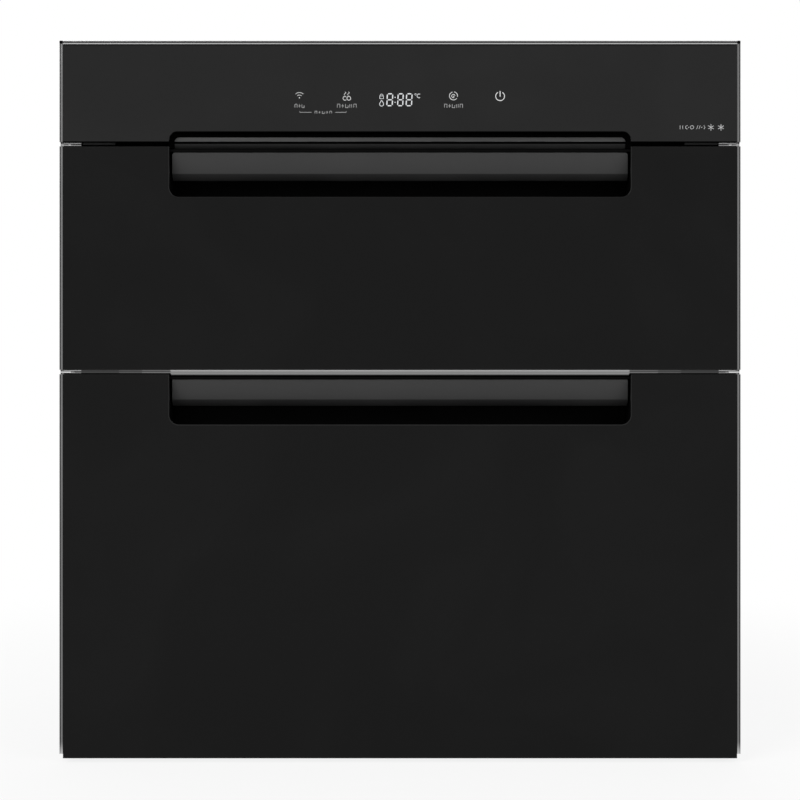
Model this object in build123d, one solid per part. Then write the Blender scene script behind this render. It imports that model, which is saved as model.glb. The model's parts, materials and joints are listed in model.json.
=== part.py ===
from build123d import *
import os

# A built-in dish sterilizer cabinet: two glass-fronted drawers under a touch panel.
# Millimetres. +Z is up, the front faces -Y and +X is to the right seen from the front.
# The origin is the middle of the footprint, on the surface that the feet stand on.

# ---------------------------------------------------------------- driving sizes
# Fronts, from the glass face back to the flange
front_width = 595.0
front_height = 627.0
front_foot_gap = 4.0           # lower edge of the fronts above the standing surface
front_depth = 30.0             # glass face to flange
control_height = 88.5
upper_front_height = 195.0
panel_gap = 4.0                # between neighbouring fronts
glass_thickness = 4.0
glass_chamfer = 0.6

# Aluminium trims along the glass edges
trim_width = 3.0
trim_depth = 22.0
trim_leg_width = 15.3          # leg behind the glass edge
trim_leg_thickness = 2.0
trim_groove_offset = 0.9
trim_groove_width = 0.7
trim_groove_depth = 0.8
trim_meeting_gap = 0.6         # between the legs of neighbouring trims
trim_short_end = 4.0           # how far the lowest side trims stop above the glass edge
bottom_trim_lap = 6.0          # height of the bottom trim behind the glass
bottom_trim_drop = 1.1         # how much lower that trim reaches over the notch below it

# Recessed handles
notch_width = 403.4
notch_depth = 44.0
notch_corner = 8.5
control_notch_height = 8.8
control_notch_corner = 7.0
bar_end_gap = 1.2
bar_top_drop = 4.5             # top of the bar below the top of the glass
bar_face_height = 17.5
bar_bevel_height = 5.6
bar_inset_top = 5.0            # top edge of the sloping face, behind the glass face
bar_inset_bottom = 13.0        # bottom edge of the sloping face
bar_inset_bevel = 18.0         # bottom edge of the bevel
bar_inset_back = 20.5
bar_corner = 3.5
pocket_wall = 2.0
pocket_side_gap = 1.0          # pocket wall outside the edge of the notch
pocket_depth = 40.0            # behind the glass
pocket_top_drop = 2.0          # top of the pocket below the top of the glass
pocket_step_clearance = 2.0    # deep part of the pocket below the window's top edge
lug_width = 14.0
lug_height = 7.0
lug_spacing = 100.0
lip_end_gap = 3.8
lip_corner = 4.4
lip_inset = 6.0
lip_thickness = 8.0
lip_face_height = 4.6
lip_bevel_height = 5.9
lip_bevel_run = 3.0
lip_clearance = 0.5            # above the top of the pocket
lip_body_gap = 0.5             # above the top of the upper drawer

# Drawer fronts behind the glass
rail_width = 20.0
rail_wall = 1.5
rail_inset = 5.5               # rail behind the outer edge of the front
rail_end_gap = 2.0             # rail ends inside the glass edges
inner_panel_thickness = 1.0
inner_panel_side_inset = 11.5
inner_panel_end_inset = 2.0
inner_panel_slack = 0.3        # round the deep part of the pocket
gasket_thickness = 4.0
gasket_width = 7.0
gasket_inset = 1.5             # gasket outside the window's edge

# Body
front_side_overlap = 19.5      # fronts past each side of the body, over the niche's edges
foot_height = 8.0
foot_diameter = 30.0
foot_inset = 40.0
base_thickness = 1.2
flange_thickness = 1.2
flange_side_inset = 3.5        # flange inside the outer edge of the fronts
flange_top_inset = 7.0
flange_foot_rise = 4.0         # flange above the base
panel_sheet = 1.0
panel_fold = 14.0              # folded flanges of the side panels
side_cavity = 18.0             # between side panel and liner
floor_cavity = 11.8            # between base plate and lower liner
bay_height = 68.0              # electronics bay over the upper liner
plenum_depth = 56.0            # fan space behind the liners
window_margin = 10.5           # window edge inside the drawer fronts' edges
install_hole_diameter = 4.5
install_hole_edge = 9.5        # from the fronts' outer edge
install_hole_low = 60.0
install_hole_spacing = 440.0

# Ball-bearing slides: height and thickness of each nested channel
slide_length = 340.0
slide_setback = 5.0            # behind the flange's front face
slide_end_clearance = 9.0      # to the liner's rear wall
slide_sheet = 1.2
slide_thickness = 12.7
slide_height = 45.0
slide_ball_gap = 3.8           # between nested flanges
slide_outer_depth = 9.5
slide_middle_offset = 3.0      # middle web inside the wall
slide_middle_depth = 8.0
slide_inner_depth = 6.7
slide_floor_gap = 11.5         # slide above the chamber floor

# Drawer brackets, trays and baskets
bracket_thickness = 1.5
bracket_margin = 7.5           # bracket above and below the slide
bracket_ledge = 18.0
bracket_tab = 18.0
bracket_end_gap = 6.0          # bracket short of the slide's rear end
tray_sheet = 0.8
tray_height = 10.0
tray_side_gap = 3.0            # tray inside the brackets
tray_front_gap = 2.5           # tray behind the handle pocket
guard_gap = 4.0                # tray in front of the lamp guards
cross_wire = 4.0
long_wire = 3.0
rim_wire = 5.0
upright_wire = 3.0
upper_basket_height = 100.0
lower_basket_height = 180.0
wire_pitch = 44.0
cross_pitch = 58.0
upper_hoop_height = 45.0       # plate hoops above the cross wires
lower_hoop_height = 65.0
hoop_wire = 3.0
hoop_bend = 14.0
upright_spacing = 66.0         # uprights along the front and the rear

# Lamps and heaters on the liners' rear walls
lamp_diameter = 16.0
lamp_length = 280.0
lamp_standoff = 14.0           # lamp centre in front of the rear wall
lamp_drop = 23.0               # lamp centre under the chamber's ceiling
holder_width = 14.0
holder_height = 24.0
holder_depth = 25.0
guard_sheet = 1.0
guard_depth = 28.0
guard_half_height = 16.0
guard_overhang = 8.0           # guard past the holders
guard_slot_width = 6.0
guard_slot_pitch = 12.0
guard_slot_margin = 5.0
heater_diameter = 12.0
heater_length = 400.0
heater_low = 48.0              # lower heater above the chamber floor
heater_spacing = 50.0
heater_cap_width = 14.0

# Drying air
fan_offset = -130.0            # fan axis left of the middle
fan_motor_diameter = 50.0
fan_motor_length = 22.0
fan_shaft_diameter = 5.0
fan_shaft_length = 22.0
fan_running_clearance = 0.03
fan_housing_radius = 55.0
fan_housing_length = 28.0
fan_housing_wall = 1.5
fan_inlet_radius = 30.0
fan_wheel_radius = 46.0
fan_wheel_length = 20.0
fan_wheel_end_gap = 2.5
fan_blade_count = 24
fan_blade_depth = 9.0
fan_blade_thickness = 1.2
fan_blade_inset = 1.2          # blade inside the wheel's and the ring's edges
fan_hub_radius = 7.0
fan_disc_thickness = 1.5
outlet_height = 34.0
outlet_reach = 70.0            # outlet end from the fan axis
ptc_width = 22.0
ptc_fin_count = 7
ptc_fin_gap = 2.4
ptc_frame = 2.0
duct_width = 60.0
duct_half_height = 115.0
duct_sheet = 1.0
grille_width = 64.0
grille_height = 34.0
grille_thickness = 1.5
grille_rise = 86.0             # grille centre from the rail between the chambers
grille_slot_count = 5
grille_slot_height = 3.0
vent_hole_inset = 5.0

# Electronics
tray_plate_width = 400.0
tray_plate_depth = 240.0
tray_plate_rise = 12.0
tray_plate_sheet = 1.0
post_diameter = 6.0
post_height = 8.0
board_width = 210.0
board_depth = 140.0
board_thickness = 1.6
board_post_inset = 8.0
transformer_size = (52.0, 44.0, 34.0)
relay_size = (20.0, 16.0, 16.0)
relay_count = 3
relay_pitch = 28.0
terminal_size = (14.0, 64.0, 14.0)
carrier_side_inset = 22.5      # carrier inside the fronts' outer edge
carrier_wall = 2.0
carrier_bottom_rise = 9.5      # carrier above the control glass's lower edge
carrier_top_gap = 2.0
display_board_width = 210.0
display_board_height = 40.0
display_centre_drop = 47.6     # display centre below the top of the front
display_standoff = 8.0         # board behind the glass
display_width = 44.0
display_height = 16.0
touch_diameter = 8.0
touch_offsets = (-87.8, -46.6, 46.6, 87.3)
cable_slot_width = 60.0
cable_slot_height = 14.0

# Gland, vents and screws
gland_protrusion = 8.0
gland_flange_diameter = 22.0
gland_barrel_diameter = 15.0
gland_barrel_length = 10.0
gland_bore_diameter = 9.0
gland_side_inset = 78.0
gland_height = 80.0
fit_slack = 0.15               # round pieces that pass through sheet
vent_slot_width = 60.0
vent_slot_height = 4.0
vent_slot_pitch = 11.0
vent_slot_count = 7
top_vent_count = 9
top_vent_length = 90.0
screw_diameter = 4.0
screw_length = 8.0
screw_head_diameter = 8.0
screw_head_height = 2.2
screw_edge = 8.0
screw_rows = 4
screw_end_gap = 30.0

# ---------------------------------------------------------------- levels and planes
front_half = front_width / 2
front_top = front_foot_gap + front_height
control_bottom = front_top - control_height
upper_top = control_bottom - panel_gap
upper_bottom = upper_top - upper_front_height
lower_top = upper_bottom - panel_gap
lower_bottom = front_foot_gap

body_half = front_half - front_side_overlap
body_bottom = foot_height
base_top = body_bottom + base_thickness
lower_window_bottom = base_top + floor_cavity + panel_sheet
lower_window_top = lower_top - window_margin
upper_window_bottom = upper_bottom + window_margin
upper_window_top = upper_top - window_margin
bay_bottom = upper_window_top + panel_sheet
body_top = bay_bottom + bay_height + panel_sheet
chamber_half = body_half - panel_sheet - side_cavity - panel_sheet
rail_middle = (lower_window_top + upper_window_bottom) / 2

chamber_depth = slide_setback - flange_thickness + slide_length + slide_end_clearance
body_depth = flange_thickness + chamber_depth + panel_sheet + plenum_depth + panel_sheet
overall_depth = front_depth + body_depth + gland_protrusion

y_front = -overall_depth / 2
y_glass_back = y_front + glass_thickness
y_leg_back = y_glass_back + trim_leg_thickness
y_flange = y_front + front_depth
y_shell_front = y_flange + flange_thickness
y_liner_rear = y_shell_front + chamber_depth
y_plenum = y_liner_rear + panel_sheet
y_back = y_flange + body_depth
y_back_inner = y_back - panel_sheet
y_gasket = y_flange - gasket_thickness
y_inner_panel = y_gasket - inner_panel_thickness
y_pocket_back = y_glass_back + pocket_depth
y_slide = y_flange + slide_setback
y_guard_front = y_liner_rear - guard_depth

glass_half = front_half - trim_width
rail_half = front_half - rail_inset
notch_half = notch_width / 2
bar_half = notch_half - bar_end_gap
lip_half = notch_half - lip_end_gap
pocket_inner_half = notch_half + pocket_side_gap
pocket_half = pocket_inner_half + pocket_wall
bracket_face = chamber_half - slide_thickness
bracket_inner = bracket_face - bracket_thickness

nodes = {}


# ---------------------------------------------------------------- shape helpers
def block(x0, x1, y0, y1, z0, z1):
    """A box between two opposite corners."""
    centre = Pos((x0 + x1) / 2, (y0 + y1) / 2, (z0 + z1) / 2)
    return centre * Box(x1 - x0, y1 - y0, z1 - z0)


def rod(axis, low, high, across, diameter):
    """A round rod along one axis; across holds its two other coordinates, in X, Y, Z order."""
    middle = (low + high) / 2
    radius = diameter / 2
    if axis == "X":
        return Pos(middle, across[0], across[1]) * Rot(0, 90, 0) * Cylinder(radius, high - low)
    if axis == "Y":
        return Pos(across[0], middle, across[1]) * Rot(90, 0, 0) * Cylinder(radius, high - low)
    return Pos(across[0], across[1], middle) * Cylinder(radius, high - low)


def prism_x(points, x0, x1):
    """A section drawn in Y and Z, drawn out along X."""
    return Pos(x0, 0, 0) * extrude(Plane.YZ * Polygon(*points, align=None), x1 - x0)


def mirrored(shape):
    """The same piece on the other side of the cabinet."""
    return mirror(shape, about=Plane.YZ)


def pair(shape):
    """A piece and its mirror image, left apart."""
    return [shape, mirrored(shape)]


def spread(low, high, pitch):
    """Evenly spaced places from low to high, about one pitch apart, ends included."""
    steps = max(1, round((high - low) / pitch))
    return [low + (high - low) * i / steps for i in range(steps + 1)]


def row(count, pitch):
    """Places of count copies, one pitch apart, centred on zero."""
    return [(i - (count - 1) / 2) * pitch for i in range(count)]


# ---------------------------------------------------------------- shell
def make_shell():
    """Outer sheets, the front flange with its two windows, and the feet."""
    side_screws = spread(base_top + screw_end_gap, body_top - screw_end_gap, body_top / screw_rows)
    screw_x = body_half - screw_edge
    top_screws = [y_shell_front + foot_inset, y_back - foot_inset]
    hole = screw_diameter + 2 * fit_slack

    nodes["base_plate"] = block(
        -body_half, body_half, y_shell_front, y_back_inner, body_bottom, base_top
    )

    side = block(
        body_half - panel_sheet, body_half, y_shell_front, y_back_inner, base_top, body_top - panel_sheet
    )
    side += block(
        body_half - panel_fold, body_half, y_back_inner - panel_sheet, y_back_inner,
        base_top, body_top - panel_sheet,
    )
    side += block(
        body_half - panel_fold, body_half, y_shell_front, y_back_inner,
        body_top - 2 * panel_sheet, body_top - panel_sheet,
    )
    back = block(-body_half, body_half, y_back_inner, y_back, body_bottom, body_top)
    top = block(-body_half, body_half, y_shell_front, y_back_inner, body_top - panel_sheet, body_top)
    screws = []
    for z in side_screws:
        for x in (-screw_x, screw_x):
            drill = rod("Y", y_back - screw_length, y_back, (x, z), hole)
            back -= drill
            side -= drill
            screws.append(
                rod("Y", y_back - screw_length, y_back, (x, z), screw_diameter)
                + rod("Y", y_back, y_back + screw_head_height, (x, z), screw_head_diameter)
            )
    for y in top_screws:
        for x in (-screw_x, screw_x):
            drill = rod("Z", body_top - screw_length, body_top, (x, y), hole)
            top -= drill
            side -= drill
            screws.append(
                rod("Z", body_top - screw_length, body_top, (x, y), screw_diameter)
                + rod("Z", body_top, body_top + screw_head_height, (x, y), screw_head_diameter)
            )

    gland_x = body_half - gland_side_inset
    back -= rod("Y", y_back_inner, y_back, (gland_x, gland_height), gland_barrel_diameter + 2 * fit_slack)
    for dz in row(vent_slot_count, vent_slot_pitch):
        z = rail_middle + dz
        back -= block(
            fan_offset - vent_slot_width / 2, fan_offset + vent_slot_width / 2,
            y_back_inner, y_back, z - vent_slot_height / 2, z + vent_slot_height / 2,
        )
    for dx in row(top_vent_count, vent_slot_pitch):
        x = fan_offset + dx
        top -= block(
            x - vent_slot_height / 2, x + vent_slot_height / 2,
            -top_vent_length / 2, top_vent_length / 2, body_top - panel_sheet, body_top,
        )
    nodes["side_panel_right"] = side
    nodes["side_panel_left"] = mirrored(side)
    nodes["back_panel"] = back
    nodes["top_cover"] = top
    nodes["cabinet_screws"] = Compound(screws)

    nodes["cord_gland"] = (
        rod("Y", y_back_inner - gland_barrel_length, y_back, (gland_x, gland_height), gland_barrel_diameter)
        + rod("Y", y_back, y_back + gland_protrusion, (gland_x, gland_height), gland_flange_diameter)
        - rod(
            "Y", y_back_inner - gland_barrel_length, y_back + gland_protrusion,
            (gland_x, gland_height), gland_bore_diameter,
        )
    )

    feet = []
    for x in (-body_half + foot_inset, body_half - foot_inset):
        for y in (y_shell_front + foot_inset, y_back - foot_inset):
            feet.append(rod("Z", 0, foot_height, (x, y), foot_diameter))
    nodes["feet"] = Compound(feet)

    flange_bottom = body_bottom + flange_foot_rise
    flange_top = front_top - flange_top_inset
    stile = block(
        chamber_half, front_half - flange_side_inset, y_flange, y_shell_front, flange_bottom, flange_top
    )
    for z in (install_hole_low, install_hole_low + install_hole_spacing):
        stile -= rod(
            "Y", y_flange, y_shell_front, (front_half - install_hole_edge, z), install_hole_diameter
        )
    levels = (
        (flange_bottom, lower_window_bottom),
        (lower_window_top, upper_window_bottom),
        (upper_window_top, flange_top),
    )
    rails = [block(-chamber_half, chamber_half, y_flange, y_shell_front, z0, z1) for z0, z1 in levels]
    cable_z = front_top - display_centre_drop
    rails[2] -= block(
        -cable_slot_width / 2, cable_slot_width / 2, y_flange, y_shell_front,
        cable_z - cable_slot_height / 2, cable_z + cable_slot_height / 2,
    )
    nodes["front_frame"] = Compound(pair(stile) + rails)


# ---------------------------------------------------------------- chambers
def make_liner(name, bottom, top, grille_z):
    """Five welded sheets round one drawer, with an air inlet in the rear one."""
    outer = chamber_half + panel_sheet
    wall = block(chamber_half, outer, y_shell_front, y_liner_rear, bottom, top)
    rear = block(-outer, outer, y_liner_rear, y_plenum, bottom - panel_sheet, top + panel_sheet)
    rear -= block(
        -grille_width / 2 + vent_hole_inset, grille_width / 2 - vent_hole_inset, y_liner_rear, y_plenum,
        grille_z - grille_height / 2 + vent_hole_inset, grille_z + grille_height / 2 - vent_hole_inset,
    )
    nodes[name] = Compound(
        pair(wall)
        + [
            block(-outer, outer, y_shell_front, y_liner_rear, bottom - panel_sheet, bottom),
            block(-outer, outer, y_shell_front, y_liner_rear, top, top + panel_sheet),
            rear,
        ]
    )


def make_grille(z):
    """A slotted plate over an air inlet."""
    grille = block(
        -grille_width / 2, grille_width / 2, y_liner_rear - grille_thickness, y_liner_rear,
        z - grille_height / 2, z + grille_height / 2,
    )
    for dz in row(grille_slot_count, grille_height / (grille_slot_count + 1)):
        grille -= block(
            -grille_width / 2 + vent_hole_inset, grille_width / 2 - vent_hole_inset,
            y_liner_rear - grille_thickness, y_liner_rear,
            z + dz - grille_slot_height / 2, z + dz + grille_slot_height / 2,
        )
    return grille


def make_guard(half_length, low, high):
    """A slotted channel in front of lamps or heaters, fixed to the rear wall."""
    guard = block(-half_length, half_length, y_guard_front, y_guard_front + guard_sheet, low, high)
    for x in spread(-half_length + guard_slot_pitch, half_length - guard_slot_pitch, guard_slot_pitch):
        guard -= block(
            x - guard_slot_width / 2, x + guard_slot_width / 2, y_guard_front,
            y_guard_front + guard_sheet, low + guard_slot_margin, high - guard_slot_margin,
        )
    guard += block(-half_length, half_length, y_guard_front, y_liner_rear, low, low + guard_sheet)
    guard += block(-half_length, half_length, y_guard_front, y_liner_rear, high - guard_sheet, high)
    return guard


def make_lamps():
    """A UV lamp in each chamber, and two quartz heaters in the lower one."""
    y_lamp = y_liner_rear - lamp_standoff
    lamps, holders, guards = [], [], []
    for z in (lower_window_top - lamp_drop, upper_window_top - lamp_drop):
        half = lamp_length / 2
        lamps.append(rod("X", -half, half, (y_lamp, z), lamp_diameter))
        holders += pair(
            block(
                half, half + holder_width, y_liner_rear - holder_depth, y_liner_rear,
                z - holder_height / 2, z + holder_height / 2,
            )
        )
        guards.append(
            make_guard(half + holder_width + guard_overhang, z - guard_half_height, z + guard_half_height)
        )
    nodes["uv_lamps"] = Compound(lamps)
    nodes["uv_lamp_holders"] = Compound(holders)
    nodes["uv_lamp_guards"] = Compound(guards)

    tubes, caps = [], []
    low = lower_window_bottom + heater_low
    for z in (low, low + heater_spacing):
        half = heater_length / 2
        tubes.append(rod("X", -half, half, (y_lamp, z), heater_diameter))
        caps += pair(
            block(
                half, half + heater_cap_width, y_liner_rear - holder_depth, y_liner_rear,
                z - holder_height / 2, z + holder_height / 2,
            )
        )
    nodes["quartz_heaters"] = Compound(tubes)
    nodes["heater_end_caps"] = Compound(caps)
    nodes["heater_guard"] = make_guard(
        heater_length / 2 + heater_cap_width + guard_overhang,
        low - guard_half_height, low + heater_spacing + guard_half_height,
    )


# ---------------------------------------------------------------- drying air
def make_fan():
    """Motor, centrifugal wheel and housing behind the liners, blowing through a heater."""
    axis = (fan_offset, rail_middle)
    y_housing = y_plenum + fan_motor_length
    y_housing_end = y_housing + fan_housing_length
    shaft_end = y_housing + fan_shaft_length
    nodes["fan_motor"] = rod("Y", y_plenum, y_housing, axis, fan_motor_diameter) + rod(
        "Y", y_housing, shaft_end, axis, fan_shaft_diameter
    )

    outlet_top = rail_middle + fan_housing_radius
    outlet_bottom = outlet_top - outlet_height
    outlet_end = fan_offset + outlet_reach
    housing = rod("Y", y_housing, y_housing_end, axis, 2 * fan_housing_radius)
    housing += block(fan_offset, outlet_end, y_housing, y_housing_end, outlet_bottom, outlet_top)
    wall = fan_housing_wall
    housing -= rod("Y", y_housing + wall, y_housing_end - wall, axis, 2 * (fan_housing_radius - wall))
    housing -= block(
        fan_offset, outlet_end, y_housing + wall, y_housing_end - wall,
        outlet_bottom + wall, outlet_top - wall,
    )
    housing -= rod("Y", y_housing_end - wall, y_housing_end, axis, 2 * fan_inlet_radius)
    housing -= rod("Y", y_housing, y_housing + wall, axis, 2 * fan_shaft_diameter)
    nodes["fan_housing"] = housing

    y_wheel = y_housing + wall + fan_wheel_end_gap
    y_wheel_end = y_wheel + fan_wheel_length
    wheel = rod("Y", y_wheel, y_wheel + fan_disc_thickness, axis, 2 * fan_wheel_radius)
    wheel += rod("Y", y_wheel, shaft_end, axis, 2 * fan_hub_radius)
    ring = rod("Y", y_wheel_end - fan_disc_thickness, y_wheel_end, axis, 2 * fan_wheel_radius)
    ring_hole = 2 * (fan_wheel_radius - fan_blade_inset - fan_blade_depth - fan_blade_inset)
    ring -= rod("Y", y_wheel_end - fan_disc_thickness, y_wheel_end, axis, ring_hole)
    blade = block(
        fan_wheel_radius - fan_blade_inset - fan_blade_depth, fan_wheel_radius - fan_blade_inset,
        y_wheel + fan_disc_thickness / 2, y_wheel_end - fan_disc_thickness / 2,
        -fan_blade_thickness / 2, fan_blade_thickness / 2,
    )
    blades = [
        Pos(axis[0], 0, axis[1]) * Rot(0, i * 360 / fan_blade_count, 0) * blade
        for i in range(fan_blade_count)
    ]
    wheel = wheel + ring + blades
    wheel -= rod(
        "Y", y_wheel, shaft_end, axis, fan_shaft_diameter + 2 * fan_running_clearance
    )
    nodes["fan_wheel"] = wheel

    duct_left = outlet_end + ptc_width
    ptc = block(outlet_end, duct_left, y_housing, y_housing_end, outlet_bottom, outlet_top)
    fin_pitch = (fan_housing_length - 2 * ptc_frame) / ptc_fin_count
    for dy in row(ptc_fin_count, fin_pitch):
        y = (y_housing + y_housing_end) / 2 + dy
        ptc -= block(
            outlet_end, duct_left, y - ptc_fin_gap / 2, y + ptc_fin_gap / 2,
            outlet_bottom + ptc_frame, outlet_top - ptc_frame,
        )
    nodes["ptc_heater"] = ptc

    duct_right = duct_left + duct_width
    duct = block(
        duct_left, duct_right, y_plenum, y_housing_end,
        rail_middle - duct_half_height, rail_middle + duct_half_height,
    )
    duct -= block(
        duct_left + duct_sheet, duct_right - duct_sheet, y_plenum + duct_sheet, y_housing_end - duct_sheet,
        rail_middle - duct_half_height + duct_sheet, rail_middle + duct_half_height - duct_sheet,
    )
    duct -= block(
        duct_left, duct_left + duct_sheet, y_housing + ptc_frame, y_housing_end - ptc_frame,
        outlet_bottom + ptc_frame, outlet_top - ptc_frame,
    )
    for z in grille_levels():
        duct -= block(
            max(duct_left + duct_sheet, -grille_width / 2 + vent_hole_inset),
            min(duct_right - duct_sheet, grille_width / 2 - vent_hole_inset),
            y_plenum, y_plenum + duct_sheet,
            z - grille_height / 2 + vent_hole_inset, z + grille_height / 2 - vent_hole_inset,
        )
    nodes["air_duct"] = duct
    nodes["air_grilles"] = Compound([make_grille(z) for z in grille_levels()])


def grille_levels():
    """Heights of the air inlets in the lower and the upper chamber."""
    return (rail_middle - grille_rise, rail_middle + grille_rise)


# ---------------------------------------------------------------- electronics bay
def make_electronics():
    """A raised tray over the upper liner, carrying the power board and its parts."""
    x = tray_plate_width / 2
    y = tray_plate_depth / 2
    plate_bottom = bay_bottom + tray_plate_rise
    plate_top = plate_bottom + tray_plate_sheet
    board_bottom = plate_top + post_height
    board_top = board_bottom + board_thickness
    board_x = board_width / 2
    board_y = board_depth / 2

    leg = block(x - tray_plate_sheet, x, -y, y, bay_bottom, plate_top)
    tray = block(-x, x, -y, y, plate_bottom, plate_top) + pair(leg)
    for px in (-board_x + board_post_inset, board_x - board_post_inset):
        for py in (-board_y + board_post_inset, board_y - board_post_inset):
            tray += rod("Z", plate_top, board_bottom, (px, py), post_diameter)
    nodes["electronics_tray"] = tray
    nodes["power_board"] = block(-board_x, board_x, -board_y, board_y, board_bottom, board_top)

    def part_on_board(centre_x, centre_y, size):
        return Pos(centre_x, centre_y, board_top + size[2] / 2) * Box(*size)

    parts = [part_on_board(-board_x / 2, 0, transformer_size)]
    for dy in row(relay_count, relay_pitch):
        parts.append(part_on_board(board_x / 3, dy, relay_size))
    parts.append(part_on_board(board_x - terminal_size[0], 0, terminal_size))
    nodes["power_board_parts"] = Compound(parts)


# ---------------------------------------------------------------- control panel
def glass_sheet(bottom, top, notch):
    """A sheet between the side trims, less the handle notch, with chamfered front edges."""
    sheet = block(-glass_half, glass_half, y_front, y_glass_back, bottom, top) - notch
    edges = sheet.faces().sort_by(Axis.Y)[0].outer_wire().edges()
    return chamfer(edges, glass_chamfer)


def side_trims(bottom, top, leg_bottom, leg_top):
    """Grooved strips beside the glass, each with a leg behind the glass edge."""
    trim = block(glass_half, front_half, y_front, y_front + trim_depth, bottom, top)
    trim += block(front_half - trim_leg_width - trim_width, front_half, y_glass_back, y_leg_back,
                  leg_bottom, leg_top)
    groove = front_half - trim_groove_offset
    trim -= block(
        groove - trim_groove_width, groove, y_front, y_front + trim_groove_depth, bottom, top
    )
    return Compound(pair(trim))


def make_control_panel():
    """Touch glass with its trims, the carrier behind it and the display."""
    glass_top = front_top - trim_width
    notch = block(
        -notch_half, notch_half, y_front, y_glass_back,
        control_bottom - control_notch_corner, control_bottom + control_notch_height,
    )
    notch = fillet(notch.edges().filter_by(Axis.Y).group_by(Axis.Z)[-1], control_notch_corner)
    nodes["control_glass"] = glass_sheet(control_bottom, glass_top, notch)

    overlap = (panel_gap - trim_meeting_gap) / 2
    nodes["control_side_trims"] = side_trims(
        control_bottom, glass_top, control_bottom - overlap, glass_top
    )
    top_trim = block(-glass_half, glass_half, y_front, y_front + trim_depth, glass_top, front_top)
    groove = front_top - trim_groove_offset
    top_trim -= block(
        -glass_half, glass_half, y_front, y_front + trim_groove_depth, groove - trim_groove_width, groove
    )
    nodes["control_trim_top"] = top_trim

    half = front_half - carrier_side_inset
    carrier_bottom = control_bottom + carrier_bottom_rise
    carrier_top = glass_top - carrier_top_gap
    display_z = front_top - display_centre_drop
    wall = carrier_wall
    carrier = block(-half, half, y_glass_back, y_flange, carrier_bottom, carrier_top)
    carrier -= block(
        -half + wall, half - wall, y_glass_back, y_flange - wall, carrier_bottom + wall, carrier_top - wall
    )
    carrier -= block(
        -cable_slot_width / 2, cable_slot_width / 2, y_flange - wall, y_flange,
        display_z - cable_slot_height / 2, display_z + cable_slot_height / 2,
    )
    y_board = y_glass_back + display_standoff
    board_half = display_board_width / 2
    for x in (-board_half + board_post_inset, board_half - board_post_inset):
        for dz in row(2, display_board_height - 2 * board_post_inset):
            carrier += rod(
                "Y", y_board + board_thickness, y_flange - wall, (x, display_z + dz), post_diameter
            )
    nodes["control_carrier"] = carrier
    nodes["display_board"] = block(
        -board_half, board_half, y_board, y_board + board_thickness,
        display_z - display_board_height / 2, display_z + display_board_height / 2,
    )
    nodes["display_module"] = block(
        -display_width / 2, display_width / 2, y_glass_back, y_board,
        display_z - display_height / 2, display_z + display_height / 2,
    )
    springs = [rod("Y", y_glass_back, y_board, (x, display_z), touch_diameter) for x in touch_offsets]
    nodes["touch_springs"] = Compound(springs)


def make_finger_lip():
    """The satin lip in the control glass's notch, over the upper handle."""
    lip_bottom = upper_top - pocket_top_drop + lip_clearance
    lip_top = lip_bottom + lip_bevel_height + lip_face_height
    y_face = y_front + lip_inset
    y_rear = y_face + lip_thickness
    section = [
        (y_face, lip_top),
        (y_face, lip_bottom + lip_bevel_height),
        (y_face + lip_bevel_run, lip_bottom),
        (y_rear, lip_bottom),
        (y_rear, lip_top),
    ]
    face = prism_x(section, -lip_half, lip_half)
    ends = face.edges().filter_by(Axis.Y).group_by(Axis.Z)[-1]
    face = fillet(ends, lip_corner)
    body = block(
        -pocket_half, pocket_half, y_rear, y_flange,
        upper_top + lip_body_gap, control_bottom + carrier_bottom_rise,
    )
    nodes["control_finger_lip"] = face + body


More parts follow.
